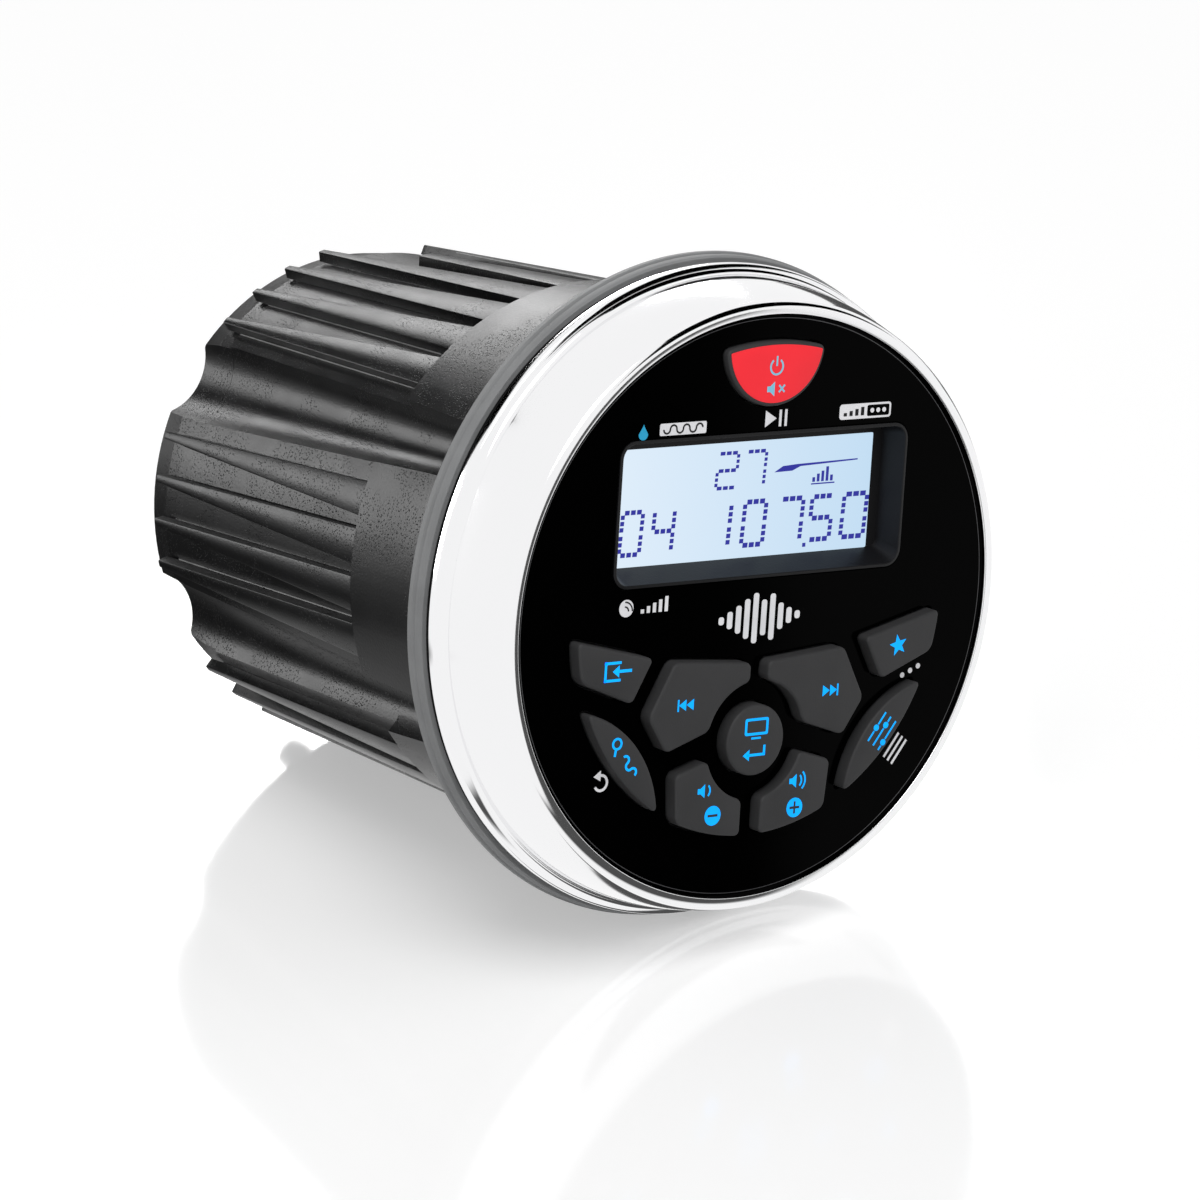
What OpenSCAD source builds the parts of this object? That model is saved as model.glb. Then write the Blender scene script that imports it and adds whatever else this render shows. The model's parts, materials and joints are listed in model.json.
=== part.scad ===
// Round panel-mounted marine stereo, built as separate pieces.
// Building frame: x to the right, y up, z towards the viewer, with z = 0 on the panel's surface.
// place() turns it so that the front faces -Y and +Z is up. All sizes are in millimetres.

/* [Barrel] */
// Radius of the smooth collar that passes through the panel hole
collar_r = 42; // [40:0.5:46]
// Length of the smooth collar behind the panel's surface
collar_len = 26.5; // [20:0.5:35]
// Length of the ribs behind the collar
rib_len = 57; // [52:1:75]
// How far the ribs draw in towards the rear
rib_draft = 2.4; // [1.5:0.1:3]
// Angle between ribs
rib_pitch = 10; // [9:0.5:12]
// Depth of the slots between ribs
slot_depth = 1.8; // [1:0.1:2.2]
// Width of a slot at its front end
slot_front_w = 2; // [1.5:0.1:3]
// Width of a slot at the rib tips
slot_rear_w = 5.8; // [4:0.1:6]
// Length of the rib tips that reach over the rear cover
finger_len = 4.5; // [2:0.5:6]
// Angle of the scallop channels above and below each side
channel_a = 30; // [26:1:36]
// Scallop radius at the panel
channel_front_r = 3.95; // [3:0.05:5]
// Scallop radius at the rear end
channel_rear_r = 8.4; // [6:0.1:9]
// Wall between a scallop and the inside of the barrel
shell_wall = 2.05; // [1.6:0.05:3]
// Length of the clear patch at the top rear
patch_len = 18.8; // [10:0.2:30]
// Width of the clear patch
patch_w = 17; // [14:0.5:17.5]

/* [Flange] */
// Thickness of the grey sealing ring
gasket_t = 3.1; // [2:0.1:5]
// How far the trim ring's brim reaches beyond the collar
brim_over = 7.55; // [7:0.05:10]
// How far the sealing ring reaches beyond the brim
gasket_over = 1.03; // [0.3:0.01:2]
// Thickness of the flange's black edge
flange_edge_t = 0.8; // [0.6:0.1:1.5]
// Thickness of the flange's hub
hub_t = 3.9; // [3.5:0.1:6]

/* [Trim ring and face] */
// How far the face's edge reaches beyond the collar
face_over = 2; // [1.5:0.1:3]
// How far the trim ring's lip stands in front of the face
lip_h = 0.6; // [0.4:0.1:1.2]
// Radius of the lip's outer edge
lip_round = 1.3; // [0.8:0.1:1.8]
// Height of the brim at the trim ring's foot
brim_h = 1.3; // [0.8:0.1:2]
// Thickness of the faceplate
face_t = 2.5; // [1.8:0.1:3]
// Wall of the carrier ring behind the faceplate
carrier_wall = 1.7; // [1.2:0.1:2.2]
// Thickness of the seal under the carrier
carrier_seal_t = 0.8; // [0.5:0.1:1.5]

/* [Display] */
// Width of the display window in the face
window_w = 53.2; // [44:0.2:56]
// Height of the display window in the face
window_h = 20.9; // [18:0.1:22]
// Distance between the red key and the window
window_gap = 4.75; // [4:0.05:5.5]
// Corner radius of the window
window_round = 2.2; // [1:0.1:3]
// Depth of the display below the face
display_depth = 4; // [3.2:0.1:5]
// How far the window's ends slope in
end_slope = 1.1; // [0.5:0.1:1.5]
// How far the window's lower side slopes in
sill_slope = 1.75; // [0.5:0.05:2]
// Thickness of the display glass
lcd_t = 1.8; // [1.2:0.1:2.5]
// Thickness of the display's backlight
backlight_t = 3.5; // [3:0.1:5]

/* [Keys] */
// How far the grey keys stand in front of the face
key_h = 2.1; // [1:0.1:3]
// How far the red key stands in front of the face
power_h = 1; // [0.5:0.1:2]
// Travel of a key
key_travel = 0.8; // [0.4:0.05:1]
// Gap between a key and its hole
key_gap = 0.35; // [0.25:0.05:0.5]
// Width of the skirt that holds a key behind the face
skirt_w = 0.6; // [0.4:0.05:0.7]
// Thickness of a key's skirt
skirt_t = 1.2; // [0.8:0.1:1.5]
// Radius of the enter key
enter_r = 5.4; // [5:0.1:6]
// Radius of the ring of keys round the enter key
key_ring_r = 9.05; // [8.8:0.05:9.4]
// Distance of the key pad's outer edge from the face's edge
pad_edge = 9.8; // [9:0.1:10.5]
// Distance of the red key's outer edge from the face's edge
power_edge = 4.4; // [4.2:0.1:5]
// Radius of the red key's lower edge
power_r = 9.6; // [8.5:0.1:10.5]

/* [Inside] */
// Thickness of both circuit boards
board_t = 1.6; // [1:0.1:2]
// Height of the main board's top below the barrel's axis
board_drop = 6; // [4:0.5:10]
// Gap between the main board's sides and the barrel
board_side_gap = 2.6; // [1.5:0.1:4]
// Height of a push switch's body
switch_h = 2.2; // [1.6:0.1:2.4]
// Width of a push switch
switch_w = 6; // [4.5:0.1:6.2]
// Height of a push switch's button above its body
switch_button_h = 0.7; // [0.5:0.1:0.9]
// Height of the heat sink above the main board
sink_h = 24; // [18:1:26]
// Width of the heat sink
sink_w = 40; // [32:1:42]
// Length of the heat sink along the barrel
sink_len = 11; // [8:0.5:14]
// Thickness of the amplifier chip
amp_t = 4.5; // [3.5:0.1:6]
// Radius of a capacitor
cap_r = 6.3; // [4:0.1:6.5]
// Height of a capacitor
cap_h = 20; // [12:1:22]

/* [Rear] */
// How far the rear cover reaches behind the rib tips
cover_out = 4.8; // [4:0.1:8]
// Thickness of the rear cover's plate
plate_t = 3.5; // [2.5:0.1:5]
// Thickness of the seal in front of the rear cover
rear_seal_t = 0.8; // [0.5:0.1:1.5]
// Radius of the mounting studs
stud_r = 2.5; // [2:0.25:3]
// Length of the mounting studs behind the cover
stud_len = 14; // [8:1:30]
// Distance of a mounting stud from the rear cover's inner wall
stud_edge = 3.7; // [3.2:0.1:4.5]
// Inner radius of the antenna socket
antenna_r = 4.2; // [3.5:0.1:5]
// Length of the sockets behind the cover
socket_len = 8; // [6:0.5:12]
// Outer radius of a line-out socket
line_out_r = 4.15; // [3.8:0.05:4.6]
// Width of the harness socket
harness_w = 30; // [24:1:34]
// Height of the harness socket
harness_h = 13; // [10:0.5:14]

/* [Hidden] */
$fn = 96;
fit = 0.2;            // gap between fixed round pieces
hole_fit = 0.05;      // gap between a screw and its hole
seat = 0.02;          // gap between pieces that rest on each other
head_gap = 0.5;       // gap between a screw's head and what stands beside it
far = 150;            // larger than anything here

// Levels along the axis, front to rear
flange_z = gasket_t;
edge_z = flange_z + flange_edge_t;
hub_z = flange_z + hub_t;
board_z = hub_z + board_t;
glass_z = board_z + backlight_t;
lcd_z = glass_z + lcd_t;
face_z = lcd_z + display_depth;
face_back_z = face_z - face_t;
lip_z = face_z + lip_h;
skirt_z = face_back_z - skirt_t;
button_z = board_z + switch_h + switch_button_h;
stem_z = button_z + key_travel + hole_fit;
shell_len = collar_len + rib_len - finger_len;
rib_end = collar_len + rib_len;
cover_z = shell_len + rear_seal_t;
rear_z = rib_end + cover_out;
plate_z = rear_z - plate_t;

// Radii
face_r = collar_r + face_over;
brim_r = collar_r + brim_over;
gasket_r = brim_r + gasket_over;
gasket_seat_r = collar_r + 0.5;
edge_r = brim_r - 0.25;
hub_r = brim_r - 2.55;
carrier_r = face_r - 1;
carrier_in_r = carrier_r - carrier_wall;
face_disc_r = face_r + 0.8;
board_r = carrier_in_r - 0.3;
tail_r = collar_r - rib_draft;
cover_r = tail_r - slot_depth - fit;
finger_r = cover_r + 0.4;
cover_rear_r = cover_r - 0.9;
cover_chamfer = 0.5;
bore_front_r = collar_r - channel_front_r - shell_wall;
function channel_r(d) = channel_front_r + (channel_rear_r - channel_front_r) * d / rear_z;
function bore_r(d) = collar_r - channel_r(d) - shell_wall;
function crest_r(d) = collar_r - rib_draft * (d - collar_len) / rib_len;
bore_rear_r = bore_r(shell_len);
rib_tilt = atan(rib_draft / rib_len);
power_out_r = face_r - power_edge;
power_rise = 0.65;
power_low_y = power_out_r + power_rise - power_r;
window_y = power_low_y - window_gap - window_h / 2;
pad_r = face_r - pad_edge;
spigot_r = bore_rear_r - 0.3;
spigot_in_r = spigot_r - 2;

// Screws: shank radius, head radius, head height
trim_screw = [1.05, 1.6, 1.4];
board_screw = [1, 1.9, 1.3];
cover_screw = [1, 1.7, 1.5];
trim_screw_at = (carrier_r + hub_r) / 2;
trim_screw_n = 6;
trim_screw_depth = 5.5;
front_screw_at = board_r - 2.1;
front_screw_n = 6;
front_screw_depth = 6;
cover_screw_at = (bore_rear_r + cover_r) / 2 - 0.6;
cover_screw_depth = 8;
cover_head_z = cover_z + 3.6;

// Main board
board_back = shell_len - 5;
board_front = 6;
board_hw = sqrt(pow(bore_r(board_back), 2) - pow(board_drop + board_t, 2)) - board_side_gap;
board_y = -board_drop;
rail_h = 3;
rail_grip = 3;
rail_screw_d = [board_front + 6, board_back - 8];
rail_screw_x = board_hw - rail_grip + 1.6;
sink_back = board_back - 1;
sink_front = sink_back - sink_len;
amp_front = sink_front - amp_t;

// The key pad's layout is drawn for a pad of this radius, and follows the pad's own radius
layout_r = 34.2;
layout = pad_r / layout_r;

// Where each key's stem and switch stand
enter_y = -19.7 * layout;
power_at = [0, power_out_r - 4.3];
preset_at = layout * [27.3, -7.4];
next_at = layout * [12.6, -13];
audio_at = layout * [23.6, -20.4];
volume_at = layout * [8.4, -29];
enter_at = [0, enter_y];
stem_r = 1.5;

// Straight edges of the right-hand keys: direction that an edge faces, distance from the face's centre
next_edges = [[94.7, -7.95], [28.4, 10.9], [-33.9, 25.2], [251.6, 14], [180, -1.65]];
volume_edges = [[73.7, -18.8], [-4.7, 16.6], [180, -1.85]];
preset_edges = [[103.8, -10.4], [-68.5, 20.15], [208.6, -14.85]];
audio_at_c = layout * [36, -31];
audio_r = 18.4 * layout;

// Turns the building frame so that the front faces -Y and up is +Z
module place() { rotate([90, 0, 0]) children(); }

module rod(r, z0, z1) { translate([0, 0, z0]) cylinder(r = r, h = z1 - z0); }

module ring(r_out, r_in, z0, z1) {
  difference() {
    rod(r_out, z0, z1);
    rod(r_in, z0 - 1, z1 + 1);
  }
}

module block(x0, x1, y0, y1, z0, z1) { translate([x0, y0, z0]) cube([x1 - x0, y1 - y0, z1 - z0]); }

module around(n, r, first = 0) {
  for (i = [0 : n - 1]) rotate([0, 0, first + i * 360 / n]) translate([r, 0, 0]) children();
}

// Everything on the inner side of a straight edge that faces direction a at distance d
module inside_edge(a, d, z0, z1) {
  rotate([0, 0, a]) translate([d - far, -far, z0]) cube([far, 2 * far, z1 - z0]);
}

module inside_edges(edges, c, z0, z1) {
  intersection_for (e = edges) inside_edge(e[0], e[1] * layout + c, z0, z1);
}

module rounded_rect(w, h, r) {
  square([w - 2 * r, h], center = true);
  square([w, h - 2 * r], center = true);
  for (x = [-1, 1], y = [-1, 1]) translate([x * (w / 2 - r), y * (h / 2 - r)]) circle(r);
}

// A screw whose head faces +z and whose shank runs to -z, seated with the head's underside at z = 0
module screw(s, depth) {
  difference() {
    rod(s[1], 0, s[2]);
    for (a = [0, 90]) rotate([0, 0, a]) translate([-s[1] * 0.6, -0.25, s[2] * 0.5])
      cube([s[1] * 1.2, 0.5, far]);
  }
  rod(s[0], -depth, 0.1);
}

// Barrel and flange
function slot_hw(d) = (slot_front_w + (slot_rear_w - slot_front_w) * d / rib_len) / 2;

// Wedge that cuts a slot: side is 0 for a whole slot, or +1 or -1 where it runs out into a channel
module slot_wedge(d0, d1, drop, side) {
  reach = collar_r * sin(rib_pitch);
  left0 = side < 0 ? reach : slot_hw(d0);
  left1 = side < 0 ? reach : slot_hw(d1);
  right0 = side > 0 ? reach : slot_hw(d0);
  right1 = side > 0 ? reach : slot_hw(d1);
  translate([collar_r - slot_depth, 0, -collar_len]) rotate([0, rib_tilt, 0]) translate([-drop, 0, 0])
    rotate([90, 0, 90]) linear_extrude(10)
      polygon([[-left0, -d0], [right0, -d0], [right1, -d1], [-left1, -d1]]);
}

module slot(a, side = 0) {
  rotate([0, 0, a]) {
    slot_wedge(0, rib_len + 2, 0, side);
    slot_wedge(rib_len - finger_len, rib_len + 2, 1, side);
  }
}

// Slots of one group of ribs, from its middle out to the channels on both sides
module slot_group(middle, half_span) {
  n = floor((half_span - 2 * rib_pitch) / rib_pitch + 0.001);
  for (i = [-n : n]) slot(middle + i * rib_pitch);
  slot(middle + half_span - rib_pitch, 1);
  slot(middle - half_span + rib_pitch, -1);
}

module channels() {
  for (a = [channel_a, 180 - channel_a, 180 + channel_a, -channel_a])
    rotate([0, 0, a]) translate([collar_r, 0, -rear_z - 2])
      cylinder(r1 = channel_r(rear_z + 2), r2 = channel_front_r, h = rear_z + 2);
}

module bore_cone(extra) {
  translate([0, 0, -shell_len - 1])
    cylinder(r1 = bore_r(shell_len + 1) + extra, r2 = bore_front_r + extra, h = shell_len + 1);
}

module rails() {
  intersection() {
    for (s = [-1, 1])
      block(s > 0 ? board_hw - rail_grip : -far, s > 0 ? far : rail_grip - board_hw,
        board_y - board_t - rail_h, board_y - board_t - seat, -board_back, -board_front);
    bore_cone(0.8);
  }
}

module rail_screw_places() {
  for (s = [-1, 1], d = rail_screw_d) translate([s * rail_screw_x, board_y, -d])
    rotate([-90, 0, 0]) children();
}

module housing() {
  color("#26282a") place() difference() {
    union() {
      rotate_extrude() polygon([[collar_r, 0], [collar_r, -collar_len], [tail_r, -rib_end],
        [finger_r, -rib_end], [finger_r, -shell_len], [bore_rear_r, -shell_len], [bore_front_r, 0]]);
      rails();
    }
    for (m = [90, 270]) slot_group(m, 90 - channel_a);
    for (m = [0, 180]) slot_group(m, channel_a);
    channels();
    block(-patch_w / 2, patch_w / 2, finger_r, far, -rib_end - 1, -rib_end + patch_len);
    block(-patch_w / 2, patch_w / 2, finger_r - 1, far, -rib_end - 1, -shell_len);
    around(4, cover_screw_at) rod(cover_screw[0] + hole_fit, -shell_len - 1, -shell_len + cover_screw_depth);
    rail_screw_places() rod(board_screw[0] + hole_fit, -board_t - rail_h - 1, 1);
  }
}

// Flange that is bonded to the barrel's front and carries the trim ring and the front board
module mounting_flange() {
  color("#26282a") place() difference() {
    rotate_extrude() polygon([[bore_front_r, hub_z], [hub_r, hub_z], [hub_r, edge_z], [edge_r, edge_z],
      [edge_r, flange_z], [gasket_seat_r, flange_z], [gasket_seat_r, seat], [bore_front_r, seat]]);
    around(trim_screw_n, trim_screw_at) {
      rod(trim_screw[0] + hole_fit, 0, hub_z + 1);
      rod(trim_screw[1] + fit, 0, flange_z + trim_screw[2] + fit);
    }
    around(front_screw_n, front_screw_at) rod(board_screw[0] + hole_fit, hub_z - front_screw_depth, hub_z + 1);
  }
}

module flange_gasket() {
  color("#8d8f90") place() rotate_extrude() polygon([[gasket_seat_r + fit, 0], [gasket_r, 0],
    [gasket_r - 0.1, gasket_t * 0.4], [gasket_r - 0.3, gasket_t * 0.45], [gasket_r - 0.25, gasket_t * 0.8],
    [gasket_r - 0.6, gasket_t - seat], [gasket_seat_r + fit, gasket_t - seat]]);
}

// Trim ring: rounded lip, gently bowed side, hollow fillet and a thin brim
module front_bezel() {
  c = [face_r + 0.75, lip_z - lip_round];
  side_top = [c[0] + lip_round * cos(10), c[1] + lip_round * sin(10)];
  foot = [brim_r - 1.6, edge_z + brim_h + 1.6];
  function bow(t) = [side_top[0] + (foot[0] - side_top[0]) * t + 0.3 * sin(180 * t),
    side_top[1] + (foot[1] - side_top[1]) * t];
  color("#d8dadc") place() difference() {
    rotate_extrude() polygon(concat(
      [[face_r, face_z + seat], [face_r, lip_z - 0.3], [face_r + 0.3, lip_z]],
      [for (a = [90 : -16 : 10]) c + lip_round * [cos(a), sin(a)]],
      [for (i = [1 : 9]) bow(i / 10)],
      [for (a = [180 : 15 : 255]) foot + [1.2, 0] + 1.2 * [cos(a), sin(a)]],
      [[brim_r - 0.3, edge_z + brim_h + 0.35], [brim_r, edge_z + brim_h], [brim_r, edge_z + seat],
       [hub_r + fit, edge_z + seat], [hub_r + fit, hub_z + seat], [carrier_r + fit, hub_z + seat],
       [carrier_r + fit, face_back_z - 0.3], [face_disc_r + fit, face_back_z - 0.3],
       [face_disc_r + fit, face_z + seat]]));
    around(trim_screw_n, trim_screw_at) rod(trim_screw[0] + hole_fit, hub_z - 1, hub_z + trim_screw_depth);
  }
}

module bezel_screws() {
  color("#9a9c9e") place() around(trim_screw_n, trim_screw_at)
    translate([0, 0, flange_z + trim_screw[2] + fit]) mirror([0, 0, 1])
      screw(trim_screw, hub_t - trim_screw[2] - fit + trim_screw_depth - 1);
}

module face_carrier() {
  color("#303234") place() ring(carrier_r, carrier_in_r, hub_z + carrier_seal_t, face_back_z - seat);
}

module carrier_seal() {
  color("#5a3030") place() ring(carrier_r, carrier_in_r, hub_z, hub_z + carrier_seal_t - seat);
}

// Outlines of the keys, grown by c, from level z0 to z1
module enter_shape(c, z0, z1) { translate([0, enter_y, 0]) rod(enter_r + c, z0, z1); }

module next_shape(c, z0, z1) {
  difference() {
    inside_edges(next_edges, c, z0, z1);
    translate([0, enter_y, 0]) rod(key_ring_r - c, z0 - 1, z1 + 1);
  }
}

module volume_shape(c, z0, z1) {
  difference() {
    intersection() {
      inside_edges(volume_edges, c, z0, z1);
      rod(pad_r + c, z0, z1);
    }
    translate([0, enter_y, 0]) rod(key_ring_r - c, z0 - 1, z1 + 1);
  }
}

module preset_shape(c, z0, z1) {
  intersection() {
    inside_edges(preset_edges, c, z0, z1);
    rod(pad_r + c, z0, z1);
  }
}

module audio_shape(c, z0, z1) {
  intersection() {
    translate([audio_at_c[0], audio_at_c[1], 0]) rod(audio_r + c, z0, z1);
    rod(pad_r + c, z0, z1);
  }
}

module power_shape(c, z0, z1) {
  intersection() {
    translate([0, power_out_r + power_rise, 0]) rod(power_r + c, z0, z1);
    rod(power_out_r + c, z0, z1);
  }
}

module key_holes() {
  z0 = face_back_z - 1;
  z1 = face_z + 1;
  enter_shape(key_gap, z0, z1);
  power_shape(key_gap, z0, z1);
  for (s = [0, 1]) mirror([s, 0, 0]) {
    next_shape(key_gap, z0, z1);
    volume_shape(key_gap, z0, z1);
    preset_shape(key_gap, z0, z1);
    audio_shape(key_gap, z0, z1);
  }
}

module stem(at) { translate([at[0], at[1], 0]) rod(stem_r, stem_z, skirt_z + 0.5); }

// Levels of a key's cap and skirt
key_top = face_z + key_h;
power_top = face_z + power_h;
cap_low = face_back_z - skirt_t / 2;
skirt_top = face_back_z - hole_fit;
skirt_c = key_gap + skirt_w;

module window_shape(grow, z0, z1) {
  translate([0, window_y, z0]) linear_extrude(z1 - z0)
    rounded_rect(window_w + 2 * grow, window_h + 2 * grow, window_round + grow);
}

module faceplate() {
  color("#0b0b0c") place() difference() {
    rod(face_disc_r, face_back_z, face_z);
    window_shape(0.5 + fit, face_back_z - 1, face_z + 1);
    key_holes();
  }
}

// Lower and upper side of the sloping window at the display's level
sill_y = window_y - window_h / 2 + sill_slope;
head_y = window_y + window_h / 2 - 0.7;

module display_frame() {
  color("#3a3c3e") place() difference() {
    union() {
      window_shape(0.5, lcd_z, face_z - seat);
      window_shape(1.6, lcd_z, face_back_z - seat);
    }
    intersection() {
      window_shape(0, lcd_z - 1, face_z + 1);
      translate([-far / 2, 0, 0]) rotate([90, 0, 90]) linear_extrude(far)
        polygon([[window_y - window_h / 2, face_z], [window_y - window_h / 2, face_z + 2],
          [window_y + window_h / 2, face_z + 2], [window_y + window_h / 2, face_z],
          [head_y, lcd_z], [head_y, lcd_z - 2], [sill_y, lcd_z - 2], [sill_y, lcd_z]]);
      translate([0, far / 2 + window_y, 0]) rotate([90, 0, 0]) linear_extrude(far)
        polygon([[-window_w / 2, face_z], [-window_w / 2, face_z + 2], [window_w / 2, face_z + 2],
          [window_w / 2, face_z], [window_w / 2 - end_slope, lcd_z], [window_w / 2 - end_slope, lcd_z - 2],
          [end_slope - window_w / 2, lcd_z - 2], [end_slope - window_w / 2, lcd_z]]);
    }
  }
}

module lcd_glass() {
  color("#bfe0f2") place() block(-window_w / 2, window_w / 2, window_y - window_h / 2 + 0.4,
    window_y + window_h / 2 + 0.4, glass_z, lcd_z - seat);
}

module lcd_backlight() {
  color("#f4f4ee") place() difference() {
    block(-window_w / 2 + 0.4, window_w / 2 - 0.4, window_y - window_h / 2 + 0.8, window_y + window_h / 2,
      board_z + seat, glass_z - seat);
    for (s = [-1, 1]) translate([s * (window_w / 2 - 3), window_y, 0]) rod(1.5, 0, board_z + 1.2);
  }
}

module key_power() {
  color("#e8323c") place() {
    power_shape(0, cap_low, power_top);
    power_shape(skirt_c, skirt_z, skirt_top);
    stem(power_at);
  }
}

module preset_key() {
  preset_shape(0, cap_low, key_top);
  preset_shape(skirt_c, skirt_z, skirt_top);
  stem(preset_at);
}

module next_key() {
  next_shape(0, cap_low, key_top);
  next_shape(skirt_c, skirt_z, skirt_top);
  stem(next_at);
}

module audio_key() {
  audio_shape(0, cap_low, key_top);
  audio_shape(skirt_c, skirt_z, skirt_top);
  stem(audio_at);
}

module volume_key() {
  volume_shape(0, cap_low, key_top);
  volume_shape(skirt_c, skirt_z, skirt_top);
  stem(volume_at);
}

module key_source() { color("#47494b") place() mirror([1, 0, 0]) preset_key(); }

module key_preset() { color("#47494b") place() preset_key(); }

module key_previous() { color("#47494b") place() mirror([1, 0, 0]) next_key(); }

module key_next() { color("#47494b") place() next_key(); }

module key_band() { color("#47494b") place() mirror([1, 0, 0]) audio_key(); }

module key_audio() { color("#47494b") place() audio_key(); }

module key_enter() {
  color("#47494b") place() {
    enter_shape(0, cap_low, key_top);
    enter_shape(skirt_c, skirt_z, skirt_top);
    stem(enter_at);
  }
}

module key_volume_down() { color("#47494b") place() mirror([1, 0, 0]) volume_key(); }

module key_volume_up() { color("#47494b") place() volume_key(); }

module push_switch(at) {
  translate([at[0], at[1], 0]) {
    block(-switch_w / 2, switch_w / 2, -switch_w / 2, switch_w / 2, board_z + seat, board_z + switch_h);
    rod(stem_r + 0.2, board_z + switch_h - 0.1, button_z);
  }
}

module push_switches() {
  color("#2c2c30") place() {
    push_switch(power_at);
    push_switch(enter_at);
    for (s = [0, 1]) mirror([s, 0, 0]) {
      push_switch(preset_at);
      push_switch(next_at);
      push_switch(audio_at);
      push_switch(volume_at);
    }
  }
}

module front_board() {
  color("#1d5a35") place() difference() {
    rod(board_r, hub_z + seat, board_z);
    around(front_screw_n, front_screw_at) rod(board_screw[0] + fit, hub_z - 1, board_z + 1);
  }
}

module front_board_screws() {
  color("#9a9c9e") place() around(front_screw_n, front_screw_at) translate([0, 0, board_z + seat])
    screw(board_screw, board_t + front_screw_depth - 1);
}

// Connectors for the ribbon: one behind the front board, one on the main board
plug_w = 26;
plug_t = 5;
plug_y = 10;
plug_back = hub_z - 6;
socket_front = board_front + 6;
ribbon_w = 22;
ribbon_t = 1;
ribbon_bend = 4;

module board_connectors() {
  color("#e6e2d2") place() {
    block(-plug_w / 2, plug_w / 2, plug_y - plug_t / 2, plug_y + plug_t / 2, plug_back, hub_z - seat);
    block(-plug_w / 2, plug_w / 2, board_y + seat, board_y + 6, -socket_front - plug_t, -socket_front);
  }
}

module ribbon_cable() {
  mid_d = socket_front + plug_t / 2;
  color("#c9c4b4") place() translate([-ribbon_w / 2, 0, 0]) {
    block(0, ribbon_w, plug_y - ribbon_t / 2, plug_y + ribbon_t / 2, ribbon_bend - mid_d, plug_back - seat);
    block(0, ribbon_w, board_y + 6 + seat, plug_y - ribbon_bend, -mid_d - ribbon_t / 2, -mid_d + ribbon_t / 2);
    translate([0, plug_y - ribbon_bend, ribbon_bend - mid_d]) rotate([0, 90, 0]) intersection() {
      ring(ribbon_bend + ribbon_t / 2, ribbon_bend - ribbon_t / 2, 0, ribbon_w);
      cube([far, far, far]);
    }
  }
}

module main_board() {
  color("#1d5a35") place() difference() {
    block(-board_hw, board_hw, board_y - board_t, board_y, -board_back, -board_front);
    rail_screw_places() rod(board_screw[0] + fit, -board_t - 1, 1);
    sink_screw_places() rod(board_screw[0] + fit, -1, board_t + 1);
  }
}

module main_board_screws() {
  color("#9a9c9e") place() rail_screw_places() translate([0, 0, seat])
    screw(board_screw, board_t + rail_h - 0.5);
}

amp_w = 28;
amp_h = 17;

module amplifier_chip() {
  color("#1b1b1d") place() {
    block(-amp_w / 2, amp_w / 2, board_y + 2, board_y + 2 + amp_h, -sink_front + seat, -amp_front);
    for (i = [-6 : 6]) block(i * 2 - 0.4, i * 2 + 0.4, board_y + seat, board_y + 2.5,
      -sink_front + amp_t / 2 - 0.3, -sink_front + amp_t / 2 + 0.3);
  }
}

module sink_screw_places() {
  for (s = [-1, 1]) translate([s * (sink_w / 2 - 4), board_y - board_t, -(sink_front + 3)])
    rotate([-90, 0, 0]) children();
}

module heat_sink() {
  fins = 6;
  step = sink_w / fins;
  color("#b4b8bc") place() difference() {
    block(-sink_w / 2, sink_w / 2, board_y + seat, board_y + sink_h, -sink_back, -sink_front);
    for (i = [0 : fins - 1]) block(-sink_w / 2 + (i + 0.3) * step, -sink_w / 2 + (i + 0.8) * step,
      board_y + 5, far, -sink_back - 1, -sink_front - 5);
    sink_screw_places() rod(board_screw[0] + hole_fit, -1, board_t + 4.5);
  }
}

module heat_sink_screws() {
  color("#9a9c9e") place() sink_screw_places() mirror([0, 0, 1]) translate([0, 0, seat])
    screw(board_screw, board_t + 3.5);
}

// Shielded tuner with three trimming holes in its lid
tuner_left = 2;
tuner_w = 22;
tuner_h = 8;
tuner_len = 18;
tuner_front = board_front + 13;
trim_hole_step = 6;

module tuner_module() {
  color("#b9bcbf") place() difference() {
    block(tuner_left, tuner_left + tuner_w, board_y + seat, board_y + tuner_h,
      -tuner_front - tuner_len, -tuner_front);
    for (i = [-1 : 1])
      translate([tuner_left + tuner_w / 2 + i * trim_hole_step, board_y, -tuner_front - tuner_len / 2])
        rotate([-90, 0, 0]) rod(1, tuner_h - 1, tuner_h + 1);
  }
}

// Two capacitors beside the board's edge and one between them, further in
cap_side = cap_r - board_hw + 2.45;
cap_inner = -4.6;
cap_first = board_front + 22;
cap_step = 2 * cap_r + 2.4;
cap_at = [[cap_side, cap_first], [cap_side, cap_first + cap_step], [cap_inner, cap_first + cap_step / 2 + 0.5]];

module filter_capacitors() {
  color("#23304a") place() for (p = cap_at) translate([p[0], board_y, -p[1]]) rotate([-90, 0, 0]) difference() {
    rod(cap_r, seat, cap_h);
    for (a = [0, 60, 120]) rotate([0, 0, a]) translate([-far, -0.2, cap_h - 0.3]) cube([2 * far, 0.4, 1]);
  }
}

// Choke and processor stand in front of the amplifier chip
choke_r = 6;
choke_in_r = 2.6;
choke_h = 6;
choke_x = 17.5;
amp_gap = 0.8;
processor_left = 2.2;
processor_w = 9;
processor_h = 1.6;

module power_choke() {
  color("#a0622c") place() translate([choke_x, board_y + seat, choke_r + amp_gap - amp_front])
    rotate([-90, 0, 0]) ring(choke_r, choke_in_r, 0, choke_h);
}

module audio_processor() {
  back = 2 * amp_gap - amp_front;
  color("#1b1b1d") place() block(processor_left, processor_left + processor_w,
    board_y + seat, board_y + processor_h, back, back + processor_w);
}

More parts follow.
